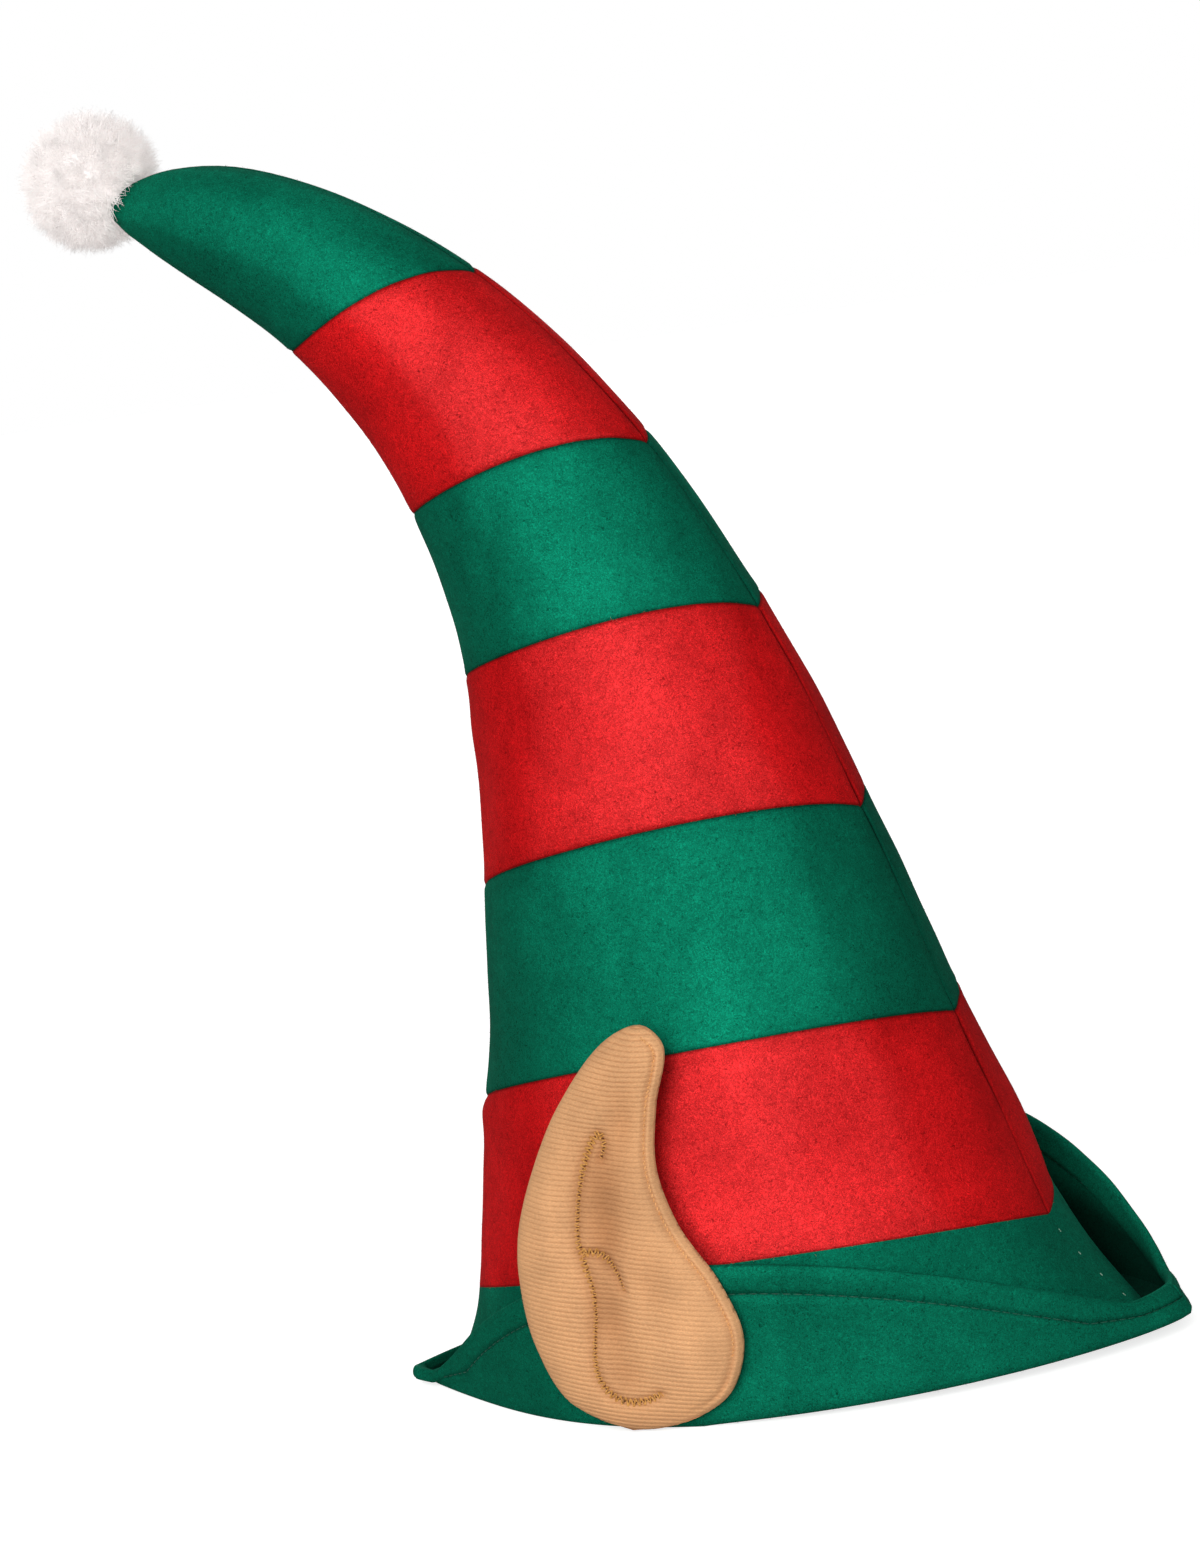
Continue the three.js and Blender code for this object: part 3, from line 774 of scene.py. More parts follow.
def needle_felt(name, colour, glint, gloss, spread):
    """Needle-punched polyester felt: matted fibres give a matt face with a soft pile,
    and their own coloured glints draw a broad highlight where the felt faces the light."""
    made, tree, place = new_material(name)
    # Thick and thin places of the batting, 28 and 6 mm across
    broad = node(tree, "TexNoise", {"Vector": place, "Scale": 1 / 28, "Detail": 2, "Roughness": 0.45})
    cloudy = node(
        tree,
        "TexNoise",
        {"Vector": place, "Scale": 1 / 6, "Detail": 3, "Roughness": 0.6, "Distortion": 0.4},
    )
    mottle = node(tree, "MapRange", {0: broad, 1: 0.32, 2: 0.7, 3: 0.9, 4: 1.1})
    clouds = node(tree, "MapRange", {0: cloudy, 1: 0.32, 2: 0.68, 3: 0.92, 4: 1.08})
    # Patches 44 mm across, long down the hat, where a hand has brushed the pile the other way
    upright = node(tree, "Mapping", {"Vector": place, "Scale": (1.0, 1.0, 0.45)})
    turned = node(
        tree,
        "TexNoise",
        {"Vector": upright, "Scale": 1 / 44, "Detail": 1, "Roughness": 0.4, "Distortion": 0.5},
    )
    patches = node(tree, "MapRange", {0: turned, 1: 0.46, 2: 0.53, 3: 0.95, 4: 1.05})
    # Painted highlight: inside the band the colour is painted up to 4% lighter, and 4% darker outside it
    highlight_band = node(tree, "Attribute", {}, out="Fac", attribute_name="highlight_band")
    lighter = node(tree, "MapRange", {0: highlight_band, 1: 0.0, 2: 1.0, 3: 0.96, 4: 1.04})
    # Fibres are 0.02 mm thick and their pits 0.2 mm, drawn 0.9 and 1.6 mm wide so that they show
    fibres = node(
        tree,
        "TexNoise",
        {"Vector": place, "Scale": 1 / 0.9, "Detail": 3, "Roughness": 0.75, "Distortion": 2.2},
    )
    pits = node(
        tree,
        "TexNoise",
        {"Vector": place, "Scale": 1 / 1.6, "Detail": 3, "Roughness": 0.8, "Distortion": 1.0},
    )
    fine = node(tree, "MapRange", {0: fibres, 1: 0.34, 2: 0.66, 3: 0.42, 4: 1.58})
    specks = node(tree, "MapRange", {0: pits, 1: 0.3, 2: 0.4, 3: 0.4, 4: 1.0})
    # Painted shade: in a seam, a fold or the brim's channel the colour and its glints are darkened down to
    # 0.12
    crease = node(tree, "Attribute", {}, out="Fac", attribute_name="crease")
    grain = node(tree, "MapRange", {0: crease, 1: 0.0, 2: 1.0, 3: 1.0, 4: 0.12})
    # The felt's own grain and tone, multiplied by the painted shade and the painted highlight band
    for part in (fine, specks, mottle, clouds, patches, lighter):
        grain = node(tree, "Math", {0: grain, 1: part}, **PRODUCT)
    coloured = node(tree, "Mix", {0: 1.0, 6: (*colour, 1), 7: grain}, **TINTED)
    glints = node(tree, "Mix", {0: 1.0, 6: (*glint, 1), 7: grain}, **TINTED)
    face = node(tree, "Bump", {"Height": fibres, "Strength": 0.6, "Distance": 0.3 * MM})
    face = node(tree, "Bump", {"Height": pits, "Strength": 0.5, "Distance": 0.4 * MM, "Normal": face})
    face = node(tree, "Bump", {"Height": cloudy, "Strength": 0.4, "Distance": 0.5 * MM, "Normal": face})
    matt = node(
        tree,
        "BsdfPrincipled",
        {
            "Base Color": coloured,
            "Roughness": 0.95,
            "Specular IOR Level": 0.04,
            "Sheen Weight": 0.05,
            "Sheen Roughness": 0.4,
            "Sheen Tint": (*glint, 1),
            "Normal": face,
        },
    )
    shiny = node(tree, "BsdfAnisotropic", {"Color": glints, "Roughness": spread, "Normal": face})
    # Painted highlight: the band also gets more of the glints
    band_gloss = node(tree, "MapRange", {0: highlight_band, 1: 0.0, 2: 1.0, 3: 0.45 * gloss, 4: gloss})
    share = node(tree, "Math", {0: patches, 1: band_gloss}, **PRODUCT)
    both = node(tree, "MixShader", {"Fac": share, 1: matt, 2: shiny})
    node(tree, "OutputMaterial", {"Surface": both})
    return made


def ribbed_twill(name, colour, dark, lit):
    """Brushed ribbed twill: a peach cotton-like cloth whose ribs are modelled. Shade is painted into the
    valleys between ribs and into the hollows, and highlight where the cushion puffs out; its yarns, 0.4 mm
    apart along each rib, are drawn 0.8 mm wide to show."""
    made, tree, place = new_material(name)
    broad = node(tree, "TexNoise", {"Vector": place, "Scale": 1 / 18, "Detail": 2})
    shade = node(tree, "ValToRGB", {"Fac": broad}, [(0.3, dark), (0.55, colour), (0.8, lit)])
    squeezed = node(tree, "Mapping", {"Vector": place, "Scale": (1.0, 1.0, 3.0)})
    yarn = node(
        tree,
        "TexNoise",
        {"Vector": squeezed, "Scale": 1 / 0.8, "Detail": 3, "Roughness": 0.7, "Distortion": 0.3},
    )
    yarns = node(tree, "MapRange", {0: yarn, 1: 0.3, 2: 0.75, 3: 0.78, 4: 1.14})
    crease = node(tree, "Attribute", {}, out="Fac", attribute_name="crease")
    # Painted shade in the valleys between ribs, broken up where yarns cross them
    crossing = node(tree, "TexNoise", {"Vector": place, "Scale": 1 / 1.3, "Detail": 2, "Roughness": 0.7})
    kept = node(tree, "MapRange", {0: crossing, 1: 0.35, 2: 0.6, 3: 0.6, 4: 1.0})
    broken = node(tree, "Math", {0: crease, 1: kept}, **PRODUCT)
    ribs = node(tree, "ValToRGB", {"Fac": broken}, [(0.1, (1.0,) * 3), (1.0, (0.55, 0.44, 0.36))])
    # Painted shade where the cushion is pressed in, and painted highlight where it puffs out
    hollow = node(tree, "Attribute", {}, out="Fac", attribute_name="hollow")
    hollow_shade = [(0.02, (1.0,) * 3), (0.35, (0.89, 0.88, 0.86)), (0.95, (0.60, 0.50, 0.42))]
    pressed = node(tree, "ValToRGB", {"Fac": hollow}, hollow_shade)
    coloured = shade
    for part in (yarns, ribs, pressed):
        coloured = node(tree, "Mix", {0: 1.0, 6: coloured, 7: part}, **TINTED)
    face = node(tree, "Bump", {"Height": yarn, "Strength": 0.5, "Distance": 0.18 * MM})
    shader = node(
        tree,
        "BsdfPrincipled",
        {
            "Base Color": coloured,
            "Roughness": 0.85,
            "Specular IOR Level": 0.2,
            "Sheen Weight": 0.15,
            "Sheen Roughness": 0.5,
            "Sheen Tint": (*lit, 1),
            "Normal": face,
        },
    )
    node(tree, "OutputMaterial", {"Surface": shader})
    return made


def spun_thread(name, colour, dark, gloss):
    """Spun polyester thread: a twisted strand with a slight gloss and darker gaps between its plies."""
    made, tree, place = new_material(name)
    plies = node(tree, "TexNoise", {"Vector": place, "Scale": 1 / 0.5, "Detail": 2, "Roughness": 0.6})
    coloured = node(tree, "ValToRGB", {"Fac": plies}, [(0.36, dark), (0.62, colour)])
    look = {"Base Color": coloured, "Roughness": gloss, "Specular IOR Level": 0.25, "Sheen Weight": 0.05}
    node(tree, "OutputMaterial", {"Surface": node(tree, "BsdfPrincipled", look)})
    return made


def faux_fur(name, colour, shade):
    """White polyester faux fur: fine pile that light passes through, greyer in its depth.
    A faint glow stands for the light that many layers of fibre pass on to each other."""
    made, tree, place = new_material(name)
    tufts = node(tree, "TexNoise", {"Vector": place, "Scale": 1 / 5, "Detail": 2})
    coloured = node(tree, "ValToRGB", {"Fac": tufts}, [(0.3, shade), (0.55, colour)])
    face = node(
        tree,
        "BsdfPrincipled",
        {
            "Base Color": coloured,
            "Roughness": 0.7,
            "Specular IOR Level": 0.3,
            "Sheen Weight": 0.3,
            "Emission Color": (*colour, 1),
            "Emission Strength": 0.25,
        },
    )
    through = node(tree, "BsdfTranslucent", {"Color": coloured})
    node(tree, "OutputMaterial", {"Surface": node(tree, "MixShader", {"Fac": 0.4, 1: face, 2: through})})
    return made


def white_paper(name, colour):
    """Matt pale paper that a glow from behind shows as white, so that the ground has no edge."""
    made, tree, place = new_material(name)
    grain = node(tree, "TexNoise", {"Vector": place, "Scale": 1 / 40, "Detail": 2})
    coloured = node(tree, "ValToRGB", {"Fac": grain}, [(0.3, shades(colour, 0.985)[0]), (0.7, colour)])
    look = {"Base Color": coloured, "Roughness": 0.9, "Specular IOR Level": 0.1}
    paper = node(tree, "BsdfPrincipled", look)
    seen = node(tree, "LightPath", {}, out="Is Camera Ray")
    strength = node(tree, "Math", {0: seen, 1: 0.74}, **PRODUCT)
    glow = node(tree, "Emission", {"Color": (1, 1, 1, 1), "Strength": strength})
    node(tree, "OutputMaterial", {"Surface": node(tree, "AddShader", {0: paper, 1: glow})})
    return made


MATERIALS = {}


def finish(name):
    """The material of that name, made when it is first asked for."""
    if name not in MATERIALS:
        looks = bpy.context.scene.elf_hat_looks
        red, green, peach = (tuple(getattr(looks, key)) for key in ("red_felt", "green_felt", "ear_twill"))
        gloss = looks.felt_gloss
        makers = {
            "red_needle_felt": lambda n: needle_felt(n, red, linear("#e84b4c"), 0.52 * gloss, 0.46),
            "green_needle_felt": lambda n: needle_felt(n, green, linear("#0f9f7c"), 0.62 * gloss, 0.52),
            "peach_ribbed_twill": lambda n: ribbed_twill(n, peach, *shades(peach, 0.86, 1.08)),
            "golden_embroidery_thread": lambda n: spun_thread(n, linear("#d39d55"), linear("#a06a30"), 0.45),
            # Painted shade: a dark brown tube under the satin bars that shows between them
            "brown_groove_shade": lambda n: spun_thread(n, linear("#6e3c1b"), linear("#4a2611"), 0.6),
            "tan_edge_thread": lambda n: spun_thread(n, linear("#dfae74"), linear("#b8783f"), 0.6),
            "green_sewing_thread": lambda n: spun_thread(n, linear("#0a5a44"), linear("#04362a"), 0.55),
            "pale_sewing_thread": lambda n: spun_thread(n, linear("#8fb39f"), linear("#4b7a66"), 0.55),
            "white_faux_fur": lambda n: faux_fur(n, tuple(looks.pompom_fur), linear("#e6e3e2")),
            "matt_white_paper": lambda n: white_paper(n, linear("#c4c4c3")),
        }
        MATERIALS[name] = makers[name](name)
    return MATERIALS[name]


# What a user may change


class ElfHatLooks(bpy.types.PropertyGroup):
    """Colours of the hat's cloths and fur."""

    red_felt: FloatVectorProperty(
        name="Red felt", description="Red of the crown's stripes", subtype="COLOR", default=linear("#b80b0f")
    )
    green_felt: FloatVectorProperty(
        name="Green felt", description="Green of stripes and brim", subtype="COLOR", default=linear("#03533e")
    )
    ear_twill: FloatVectorProperty(
        name="Ear twill", description="Peach of the ears", subtype="COLOR", default=linear("#dea878")
    )
    pompom_fur: FloatVectorProperty(
        name="Pompom fur", description="White of the pompom", subtype="COLOR", default=linear("#f3f0ef")
    )
    felt_gloss: FloatProperty(
        name="Felt gloss", description="Share of glints", default=0.42, min=0, max=1, subtype="FACTOR"
    )


class ElfHatSewing(bpy.types.PropertyGroup):
    """Sizes of seams, stitches and ribs."""

    seam_depth: FloatProperty(
        name="Seam depth", description="How far a seam pulls the felt in", default=0.5 * MM, unit="LENGTH"
    )
    seam_reach: FloatProperty(
        name="Seam reach", description="How far from a seam the pull is seen", default=1.0 * MM, unit="LENGTH"
    )
    stitch_length: FloatProperty(
        name="Stitch length", description="Length of a stitch of the hem", default=3.0 * MM, unit="LENGTH"
    )
    rib_pitch: FloatProperty(
        name="Rib pitch", description="Distance between ribs of the twill", default=1.68 * MM, unit="LENGTH"
    )
    rib_depth: FloatProperty(
        name="Rib depth", description="Height of a rib of the twill", default=0.42 * MM, unit="LENGTH"
    )
    groove_depth: FloatProperty(
        name="Groove depth", description="How deep the embroidery lies", default=1.6 * MM, unit="LENGTH"
    )
    bar_pitch: FloatProperty(
        name="Bar pitch", description="Distance between embroidered bars", default=0.95 * MM, unit="LENGTH"
    )


class ElfHatPile(bpy.types.PropertyGroup):
    """Fibres of the felt and strands of the pompom."""

    felt_fibres: IntProperty(
        name="Felt fibres", description="Loose fibres on each colour of felt", default=26000, min=0, max=60000
    )
    fibre_length: FloatProperty(
        name="Fibre length", description="Length of a loose fibre", default=1.5 * MM, unit="LENGTH"
    )
    pompom_radius: FloatProperty(
        name="Pompom radius", description="Radius of the pompom's fur", default=25.3 * MM, unit="LENGTH"
    )
    tufts: IntProperty(name="Tufts", description="Tufts of the pompom", default=1200, min=50, max=2000)
    strands: IntProperty(name="Strands", description="Strands in each tuft", default=11, min=5, max=60)


# Operators


class ELFHAT_OT_crown(bpy.types.Operator):
    """Sews the crown's twelve half stripes of red and green felt"""

    bl_idname = "elfhat.crown"
    bl_label = "Crown stripes"

    def execute(self, context):
        sewing = context.scene.elf_hat_sewing
        for i, lower in enumerate(STRIPES):
            upper = STRIPES[i + 1] if i + 1 < len(STRIPES) else CROWN_TOP
            colour = "red" if lower["name"].startswith("red") else "green"
            for side in ("right", "left"):
                depth, reach = sewing.seam_depth / MM, sewing.seam_reach / MM
                *sheets, marks = stripe_sheets(lower, upper, side, depth, reach)
                outer, inner = (on_side(sheet, side) for sheet in sheets)
                solid = f"crown_{lower['name']}_{side}"
                felt = finish(f"{colour}_needle_felt")
                piece = mesh_object(f"{solid}_felt", *slab(outer, inner), felt, marks=marks)
                settle(piece, f"{colour}_felt", [solid])
        return {"FINISHED"}


class ELFHAT_OT_brim(bpy.types.Operator):
    """Folds the two halves of the green felt brim"""

    bl_idname = "elfhat.brim"
    bl_label = "Brim"

    def execute(self, context):
        around = (1 - np.cos(np.pi * np.linspace(0, 1, 211))) / 2
        around = mix(np.linspace(0, 1, 211), around, 0.45)
        for side in ("right", "left"):
            *sheets, marks = brim_sheets(around, side)
            outer, inner = (on_side(sheet, side) for sheet in sheets)
            felt = finish("green_needle_felt")
            piece = mesh_object(f"brim_{side}_felt", *slab(outer, inner), felt, marks=marks)
            settle(piece, "green_felt", [f"brim_{side}"])
        return {"FINISHED"}


class ELFHAT_OT_ears(bpy.types.Operator):
    """Makes the two padded ears of ribbed twill"""

    bl_idname = "elfhat.ears"
    bl_label = "Ears"

    def execute(self, context):
        sewing = context.scene.elf_hat_sewing
        for side in ("right", "left"):
            *sheets, marks = ear_sheets(
                CUFFS[side], sewing.rib_pitch / MM, sewing.rib_depth / MM, sewing.groove_depth / MM, 0.15
            )
            outer, inner = (on_side(sheet, side) for sheet in sheets)
            twill = finish("peach_ribbed_twill")
            piece = mesh_object(f"ear_{side}_twill", *slab(outer, inner), twill, 80, marks)
            settle(piece, "ear_twill", [f"ear_{side}"])
        return {"FINISHED"}


class ELFHAT_OT_embroidery(bpy.types.Operator):
    """Works the satin-stitched line and branch, and the stitched edge, of each ear"""

    bl_idname = "elfhat.embroidery"
    bl_label = "Ear embroidery"

    def execute(self, context):
        sewing = context.scene.elf_hat_sewing
        groove = sewing.groove_depth / MM
        for side in ("right", "left"):
            cuff = CUFFS[side]
            bars, cores, widths = [], [], []
            for rows in (EMBROIDERED_LINE, EMBROIDERED_BRANCH):
                length = polyline(rows, 100)[2]
                count = int(length / (sewing.bar_pitch / MM))
                line, width, _ = polyline(rows, count)
                widths.append(width)
                way = unit(np.gradient(line, axis=0))
                across = np.stack([way[:, 1], -way[:, 0]], -1)
                lean = 0.3 * np.where(np.arange(count) % 2, 1, -1)[:, None]
                steps = np.linspace(-0.5, 0.5, 7)
                spread = (across + lean * way)[:, None] * (1.2 * width[:, None] * steps[None])[..., None]
                flat = line[:, None] + spread
                arch = 0.32 * np.sqrt(np.clip(1 - (2 * steps) ** 2, 0, 1))
                x, up = flat[..., 0], flat[..., 1]
                out = ear_padding(x, up, groove) + 0.2 + arch[None]
                bars.append(ear_point(x, up, out, cuff))
                # A dark brown tube along the line's core, under the bars, is painted shade that shows between
                # them
                core_line = polyline(rows, count * 2)[0]
                cx, cup = core_line[:, 0], core_line[:, 1]
                cores.append(ear_point(cx, cup, ear_padding(cx, cup, groove) - 0.1, cuff))
            lines = np.concatenate(bars)
            width = np.concatenate(widths)
            taper = np.array([0.45, 0.85, 1, 1, 1, 0.85, 0.45])
            points, faces = tubes(on_side(lines, side), (0.12 + 0.08 * width)[:, None] * taper * MM, 5)
            piece = mesh_object(f"ear_{side}_satin_stitch", points, faces, finish("golden_embroidery_thread"))
            settle(piece, "ear_twill")
            dark_points, dark_faces = [], []
            for core in cores:
                steps = (len(core) - 1) // 3
                runs = np.stack([core[k * 3 : k * 3 + 3] for k in range(steps)])
                p, f = tubes(on_side(runs, side), np.full(runs.shape[:2], 0.62) * MM, 5)
                dark_faces += [[v + sum(map(len, dark_points)) for v in face] for face in f]
                dark_points.append(p)
            points, thread = np.concatenate(dark_points), finish("brown_groove_shade")
            piece = mesh_object(f"ear_{side}_groove_shade_line", points, dark_faces, thread)
            settle(piece, "ear_twill")
            self.edge_stitches(side, cuff, groove)
        return {"FINISHED"}

    def edge_stitches(self, side, cuff, groove):
        """Small slanted stitches that hold the rolled front edge."""
        ring = EAR_RING[len(EAR_RING) // 2 :]
        inward = unit(np.stack([np.gradient(ring[:, 1]), -np.gradient(ring[:, 0])], -1))
        middle = np.array([EAR_BACK_X + 0.5 * EAR_WIDTH, 0.5 * EAR_HEIGHT])
        flip = np.sign(np.einsum("ij,ij->i", middle - ring, inward))
        inward *= np.where(flip == 0, 1, flip)[:, None]
        far = travelled(ring)
        at = np.arange(far[-1] * 0.04, far[-1] * 0.72, 1.5)
        ways = unit(np.gradient(ring, axis=0))
        seat, into, along = (read_along(values, far, at) for values in (ring, inward, ways))
        steps = np.linspace(-0.5, 0.5, 4)
        flat = (seat + into * 2.6)[:, None] + (along * 1.0 + into * 0.5)[:, None] * steps[None, :, None]
        x, up = flat[..., 0], flat[..., 1]
        lines = ear_point(x, up, ear_padding(x, up, groove) + 0.12, cuff)
        points, faces = tubes(on_side(lines, side), np.full(lines.shape[:2], 0.26) * MM, 5)
        piece = mesh_object(f"ear_{side}_edge_stitches", points, faces, finish("tan_edge_thread"))
        settle(piece, "ear_twill")


class ELFHAT_OT_hem_stitches(bpy.types.Operator):
    """Sews the hem of each half of the brim, inside and outside"""

    bl_idname = "elfhat.hem_stitches"
    bl_label = "Hem stitches"

    def execute(self, context):
        stitch = context.scene.elf_hat_sewing.stitch_length / MM
        around = np.linspace(0.004, 0.996, 1201)
        for side in ("right", "left"):
            *sheets, _ = brim_sheets(around, side)
            lines = []
            for sheet, sign in zip(sheets, (1, -1)):
                row = sheet[:, STITCHED_POINT]
                normal = normals_of(sheet)[:, STITCHED_POINT]
                wall = sheets[1][:, STITCHED_POINT] - sheets[0][:, STITCHED_POINT]
                normal *= -sign * np.sign(np.einsum("ij,ij->i", normal, wall))[:, None]
                far = travelled(row)
                starts = np.arange(2, far[-1] - stitch - 2, stitch + 0.7)
                at = starts[:, None] + np.linspace(0, stitch, 5)[None]
                lift = np.array([-0.15, 0.12, 0.18, 0.12, -0.15])
                out = read_along(normal, far, at)
                lines.append(read_along(row, far, at) + out * lift[None, :, None])
            lines = np.concatenate(lines)
            points, faces = tubes(on_side(lines, side), np.full(lines.shape[:2], 0.17) * MM, 6)
            piece = mesh_object(f"brim_{side}_hem_stitches", points, faces, finish("green_sewing_thread"))
            settle(piece, "green_felt")
        self.strip_seam(stitch)
        return {"FINISHED"}

    def strip_seam(self, stitch):
        """Pale stitches down the strip's front seam, between the two halves of the brim."""
        strip = brim_sheets(np.array([0.005, 0.01, 0.02]), "right")[1][0, :CUFF_START]
        far = travelled(strip)
        starts = np.arange(6, far[-1] - stitch, 3.4 * stitch)
        at = starts[:, None] + np.linspace(0, 0.4 * stitch, 4)[None]
        lines = read_along(strip, far, at)
        lines[..., 0] += 0.15
        points, faces = tubes(on_side(lines, "right"), np.full(lines.shape[:2], 0.15) * MM, 6)
        piece = mesh_object("brim_front_seam_stitches", points, faces, finish("pale_sewing_thread"))
        settle(piece, "green_felt")


class ELFHAT_OT_felt_fibres(bpy.types.Operator):
    """Strews short loose fibres over the felt, as its fuzzy face shows at edges"""

    bl_idname = "elfhat.felt_fibres"
    bl_label = "Felt fibres"

    def execute(self, context):
        pile = context.scene.elf_hat_pile
        dice = np.random.default_rng(7)
        for colour in ("red", "green"):
            hosts = [
                o
                for o in context.scene.objects
                if o.name.endswith("_felt") and o.get("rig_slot") == f"{colour}_felt" and "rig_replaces" in o
            ]
            centres, normals, areas = [], [], []
            for host in hosts:
                count = len(host.data.polygons)
                values = {name: np.empty(count * 3) for name in ("center", "normal")}
                for name, store in values.items():
                    host.data.polygons.foreach_get(name, store)
                area = np.empty(count)
                host.data.polygons.foreach_get("area", area)
                shown = slice(0, (count - 1) // 2)
                centres.append(values["center"].reshape(-1, 3)[shown])
                normals.append(values["normal"].reshape(-1, 3)[shown])
                areas.append(area[shown])
            centre, normal, area = (np.concatenate(v) for v in (centres, normals, areas))
            picked = dice.choice(len(area), pile.felt_fibres, p=area / area.sum())
            n = normal[picked]
            spread = np.sqrt(area[picked])[:, None]
            loose = dice.normal(size=(len(picked), 3))
            tangent = unit(loose - np.einsum("ij,ij->i", loose, n)[:, None] * n)
            shift = np.cross(n, tangent) * dice.uniform(-0.6, 0.6, (len(picked), 1)) * spread
            shift += tangent * dice.uniform(-0.6, 0.6, (len(picked), 1)) * spread
            root = centre[picked] + shift + n * 0.02 * MM
            length = pile.fibre_length * dice.uniform(0.4, 1.1, (len(picked), 1))
            rise = dice.uniform(0.05, 0.45, (len(picked), 1))
            way = unit(tangent + n * rise)
            # Half the fibre's width, 0.05 mm
            half = np.cross(way, n) * 0.05 * MM
            blades = np.stack([root - half, root + half, root + way * length], 1)
            above_floor = (blades[..., 2] > 0).all(1)
            points = blades[above_floor].reshape(-1, 3)
            faces = np.arange(len(points)).reshape(-1, 3)
            piece = mesh_object(f"{colour}_felt_fibres", points, faces, finish(f"{colour}_needle_felt"))
            settle(piece, f"{colour}_felt")
        return {"FINISHED"}


class ELFHAT_OT_pompom(bpy.types.Operator):
    """Gathers the pompom's white fur round the crown's tip"""

    bl_idname = "elfhat.pompom"
    bl_label = "Pompom"

    def execute(self, context):
        pile = context.scene.elf_hat_pile
        radius = pile.pompom_radius / MM
        middle = pompom_middle()
        dice = np.random.default_rng(11)
        core_points, core_faces = self.core(middle, radius * 0.8)
        tuft = np.arange(pile.tufts)
        height = 1 - (2 * tuft + 1) / pile.tufts
        turn = tuft * math.pi * (3 - math.sqrt(5))
        level = np.sqrt(1 - height**2)
        heading = np.stack([level * np.cos(turn), level * np.sin(turn), height], -1)
        heading = unit(heading + dice.normal(0, 0.05, heading.shape))
        # Fuller over the tip's top, where the fur is pushed up
        over_tip = np.clip(heading @ np.array([0.8, 0, 0.6]), 0, 1) ** 2
        reach = radius * (1 + 0.08 * over_tip + dice.normal(0, 0.022, pile.tufts))
        swirl = dice.normal(0, 0.09, heading.shape)
        own = np.repeat(np.arange(pile.tufts), pile.strands)
        start = unit(heading[own] + dice.normal(0, 0.10, (len(own), 3)))
        tip = unit(heading[own] + dice.normal(0, 0.085, (len(own), 3)) + swirl[own])
        length = reach[own] * dice.uniform(0.9, 1.03, len(own))
        curl = dice.normal(0, 0.05, (len(own), 3))
        steps = np.array([0.0, 0.55, 1.0])
        lines = np.zeros((len(own), len(steps), 3))
        for k, share in enumerate(steps):
            way = unit(mix(start, tip, share**1.5) + curl * math.sin(math.pi * share))
            lines[:, k] = middle + way * mix(radius * 0.62, length, share)[:, None]
        lines = lines[~inside_tip(lines, 0.4).any(1)]
        width = np.broadcast_to(np.array([0.18, 0.14, 0.02]), lines.shape[:2])
        points, faces = tubes(on_side(lines, "right"), width * MM, 3)
        faces = [list(map(int, f)) for f in core_faces] + [[v + len(core_points) for v in f] for f in faces]
        points = np.concatenate([on_side(core_points, "right"), points])
        piece = mesh_object("pompom_fur", points, faces, finish("white_faux_fur"))
        settle(piece, "pompom_fur", ["pompom"])
        return {"FINISHED"}

    def core(self, middle, radius):
        """The backing ball, hollowed where the tip goes in."""
        rings, spokes = 40, 56
        polar = np.pi * np.linspace(0, 1, rings)[:, None]
        turn = 2 * np.pi * np.arange(spokes)[None] / spokes
        ball = np.stack(
            [np.sin(polar) * np.cos(turn), np.sin(polar) * np.sin(turn), np.cos(polar) + 0 * turn], -1
        )
        tip = np.array([POMPOM_BEHIND_TIP, 0, -POMPOM_ABOVE_TIP])
        facing = ball @ (tip / np.linalg.norm(tip))
        hollow = ease(math.cos(math.radians(46)), math.cos(math.radians(30)), facing)
        size = radius * (1 - 0.5 * hollow) + 0.5 * np.sin(9 * turn + 7 * polar) * np.sin(polar)
        points = (middle + ball * size[..., None]).reshape(-1, 3)
        index = np.arange(rings * spokes).reshape(rings, spokes)
        return points, ring_quads(index)


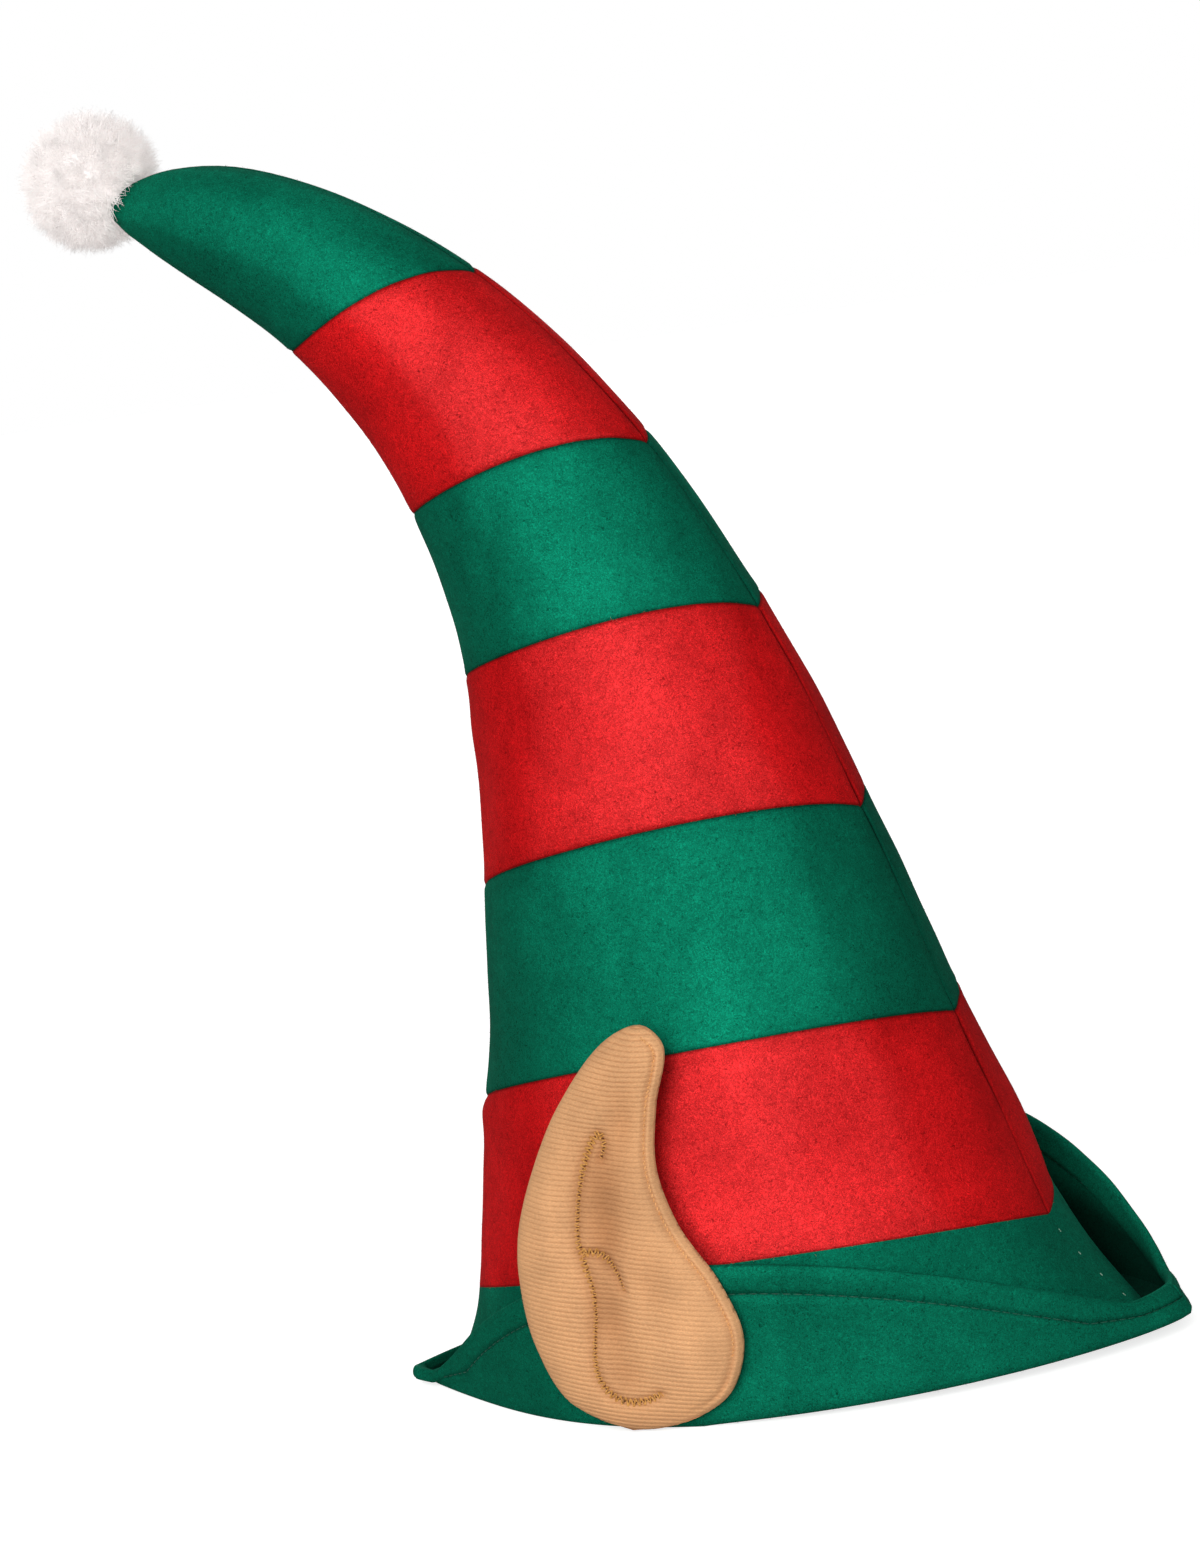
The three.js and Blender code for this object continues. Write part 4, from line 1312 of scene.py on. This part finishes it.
class ELFHAT_OT_stage(bpy.types.Operator):
    """Sets the pale floor, the soft lights and the camera"""

    bl_idname = "elfhat.stage"
    bl_label = "Stage"

    def execute(self, context):
        scene = context.scene
        turn = np.linspace(0, 2 * np.pi, 97)[:-1]
        reach = np.array([0.0, 0.4, 1.5, 4.0, 12.0])
        x, y = reach[:, None] * np.cos(turn), reach[:, None] * np.sin(turn)
        points = np.stack([x, y, 0 * x], -1)
        index = np.arange(len(reach) * len(turn)).reshape(len(reach), -1)
        data = bpy.data.meshes.new("floor")
        data.from_pydata(points.reshape(-1, 3).tolist(), [], ring_quads(index).tolist())
        data.materials.append(finish("matt_white_paper"))
        floor = bpy.data.objects.new("floor", data)
        scene.collection.objects.link(floor)
        self.lights(scene)
        self.camera(scene)
        scene.view_settings.view_transform = "Standard"
        scene.view_settings.look = "None"
        return {"FINISHED"}

    def lights(self, scene):
        """An even white surround, a broad key light from the hat's right, and weaker ones round it."""
        world = bpy.data.worlds.new("studio_surround")
        scene.world = world
        world.use_nodes = True
        tree = world.node_tree
        tree.nodes.clear()
        seen = node(tree, "LightPath", {}, out="Is Camera Ray")
        dim = node(tree, "Background", {"Color": (1, 1, 1, 1), "Strength": 0.11})
        bright = node(tree, "Background", {"Color": (1, 1, 1, 1), "Strength": 1.0})
        node(tree, "OutputWorld", {"Surface": node(tree, "MixShader", {"Fac": seen, 1: dim, 2: bright})})
        for name, strength, angle, towards in (
            ("key_light", 3.12, 36, (-0.12, 0.9, -0.42)),
            ("fill_light", 0.8, 60, (-0.8, 0.55, -0.2)),
            ("back_light", 1.3, 70, (0.45, -0.8, -0.4)),
        ):
            light = bpy.data.lights.new(name, "SUN")
            light.energy = strength
            light.angle = math.radians(angle)
            made = bpy.data.objects.new(name, light)
            made.rotation_mode = "QUATERNION"
            made.rotation_quaternion = Vector(towards).to_track_quat("-Z", "Y")
            scene.collection.objects.link(made)

    def camera(self, scene):
        """The photograph's view: right and up ways of its picture, its place and its lens."""
        right = Vector((0.9098, 0.3876, -0.1486)).normalized()
        back = right.cross(Vector((0.0853, 0.1759, 0.9807))).normalized()
        up = back.cross(right)
        data = bpy.data.cameras.new("photo_camera")
        data.sensor_width = 36
        data.lens = 36 * 4376 / 1557
        made = bpy.data.objects.new("photo_camera", data)
        place = Vector((np.array([583.8, -1381.7, 399.8]) + SHIFT) * MM)
        made.matrix_world = Matrix.Translation(place) @ Matrix((right, up, back)).transposed().to_4x4()
        scene.collection.objects.link(made)
        scene.camera = made


class ELFHAT_PT_panel(bpy.types.Panel):
    """Lists the hat's pieces, sizes and colours"""

    bl_idname = "ELFHAT_PT_panel"
    bl_label = "Elf hat"
    bl_space_type = "VIEW_3D"
    bl_region_type = "UI"
    bl_category = "Elf hat"

    def draw(self, context):
        for group in (context.scene.elf_hat_looks, context.scene.elf_hat_sewing, context.scene.elf_hat_pile):
            box = self.layout.box()
            for name in group.__annotations__:
                box.prop(group, name)
        for operator in OPERATORS:
            self.layout.operator(operator.bl_idname)


GROUPS = (ElfHatLooks, ElfHatSewing, ElfHatPile)
OPERATORS = (
    ELFHAT_OT_crown,
    ELFHAT_OT_brim,
    ELFHAT_OT_ears,
    ELFHAT_OT_embroidery,
    ELFHAT_OT_hem_stitches,
    ELFHAT_OT_felt_fibres,
    ELFHAT_OT_pompom,
    ELFHAT_OT_stage,
)


def register():
    for made in (*GROUPS, *OPERATORS, ELFHAT_PT_panel):
        bpy.utils.register_class(made)
    bpy.types.Scene.elf_hat_looks = PointerProperty(type=ElfHatLooks)
    bpy.types.Scene.elf_hat_sewing = PointerProperty(type=ElfHatSewing)
    bpy.types.Scene.elf_hat_pile = PointerProperty(type=ElfHatPile)


def unregister():
    del bpy.types.Scene.elf_hat_pile
    del bpy.types.Scene.elf_hat_sewing
    del bpy.types.Scene.elf_hat_looks
    for made in (ELFHAT_PT_panel, *reversed(OPERATORS), *reversed(GROUPS)):
        bpy.utils.unregister_class(made)


def main():
    """Makes every piece in order."""
    register()
    bpy.ops.elfhat.stage()
    bpy.ops.elfhat.brim()
    bpy.ops.elfhat.crown()
    bpy.ops.elfhat.ears()
    bpy.ops.elfhat.embroidery()
    bpy.ops.elfhat.hem_stitches()
    bpy.ops.elfhat.felt_fibres()
    bpy.ops.elfhat.pompom()


if __name__ == "__main__":
    main()
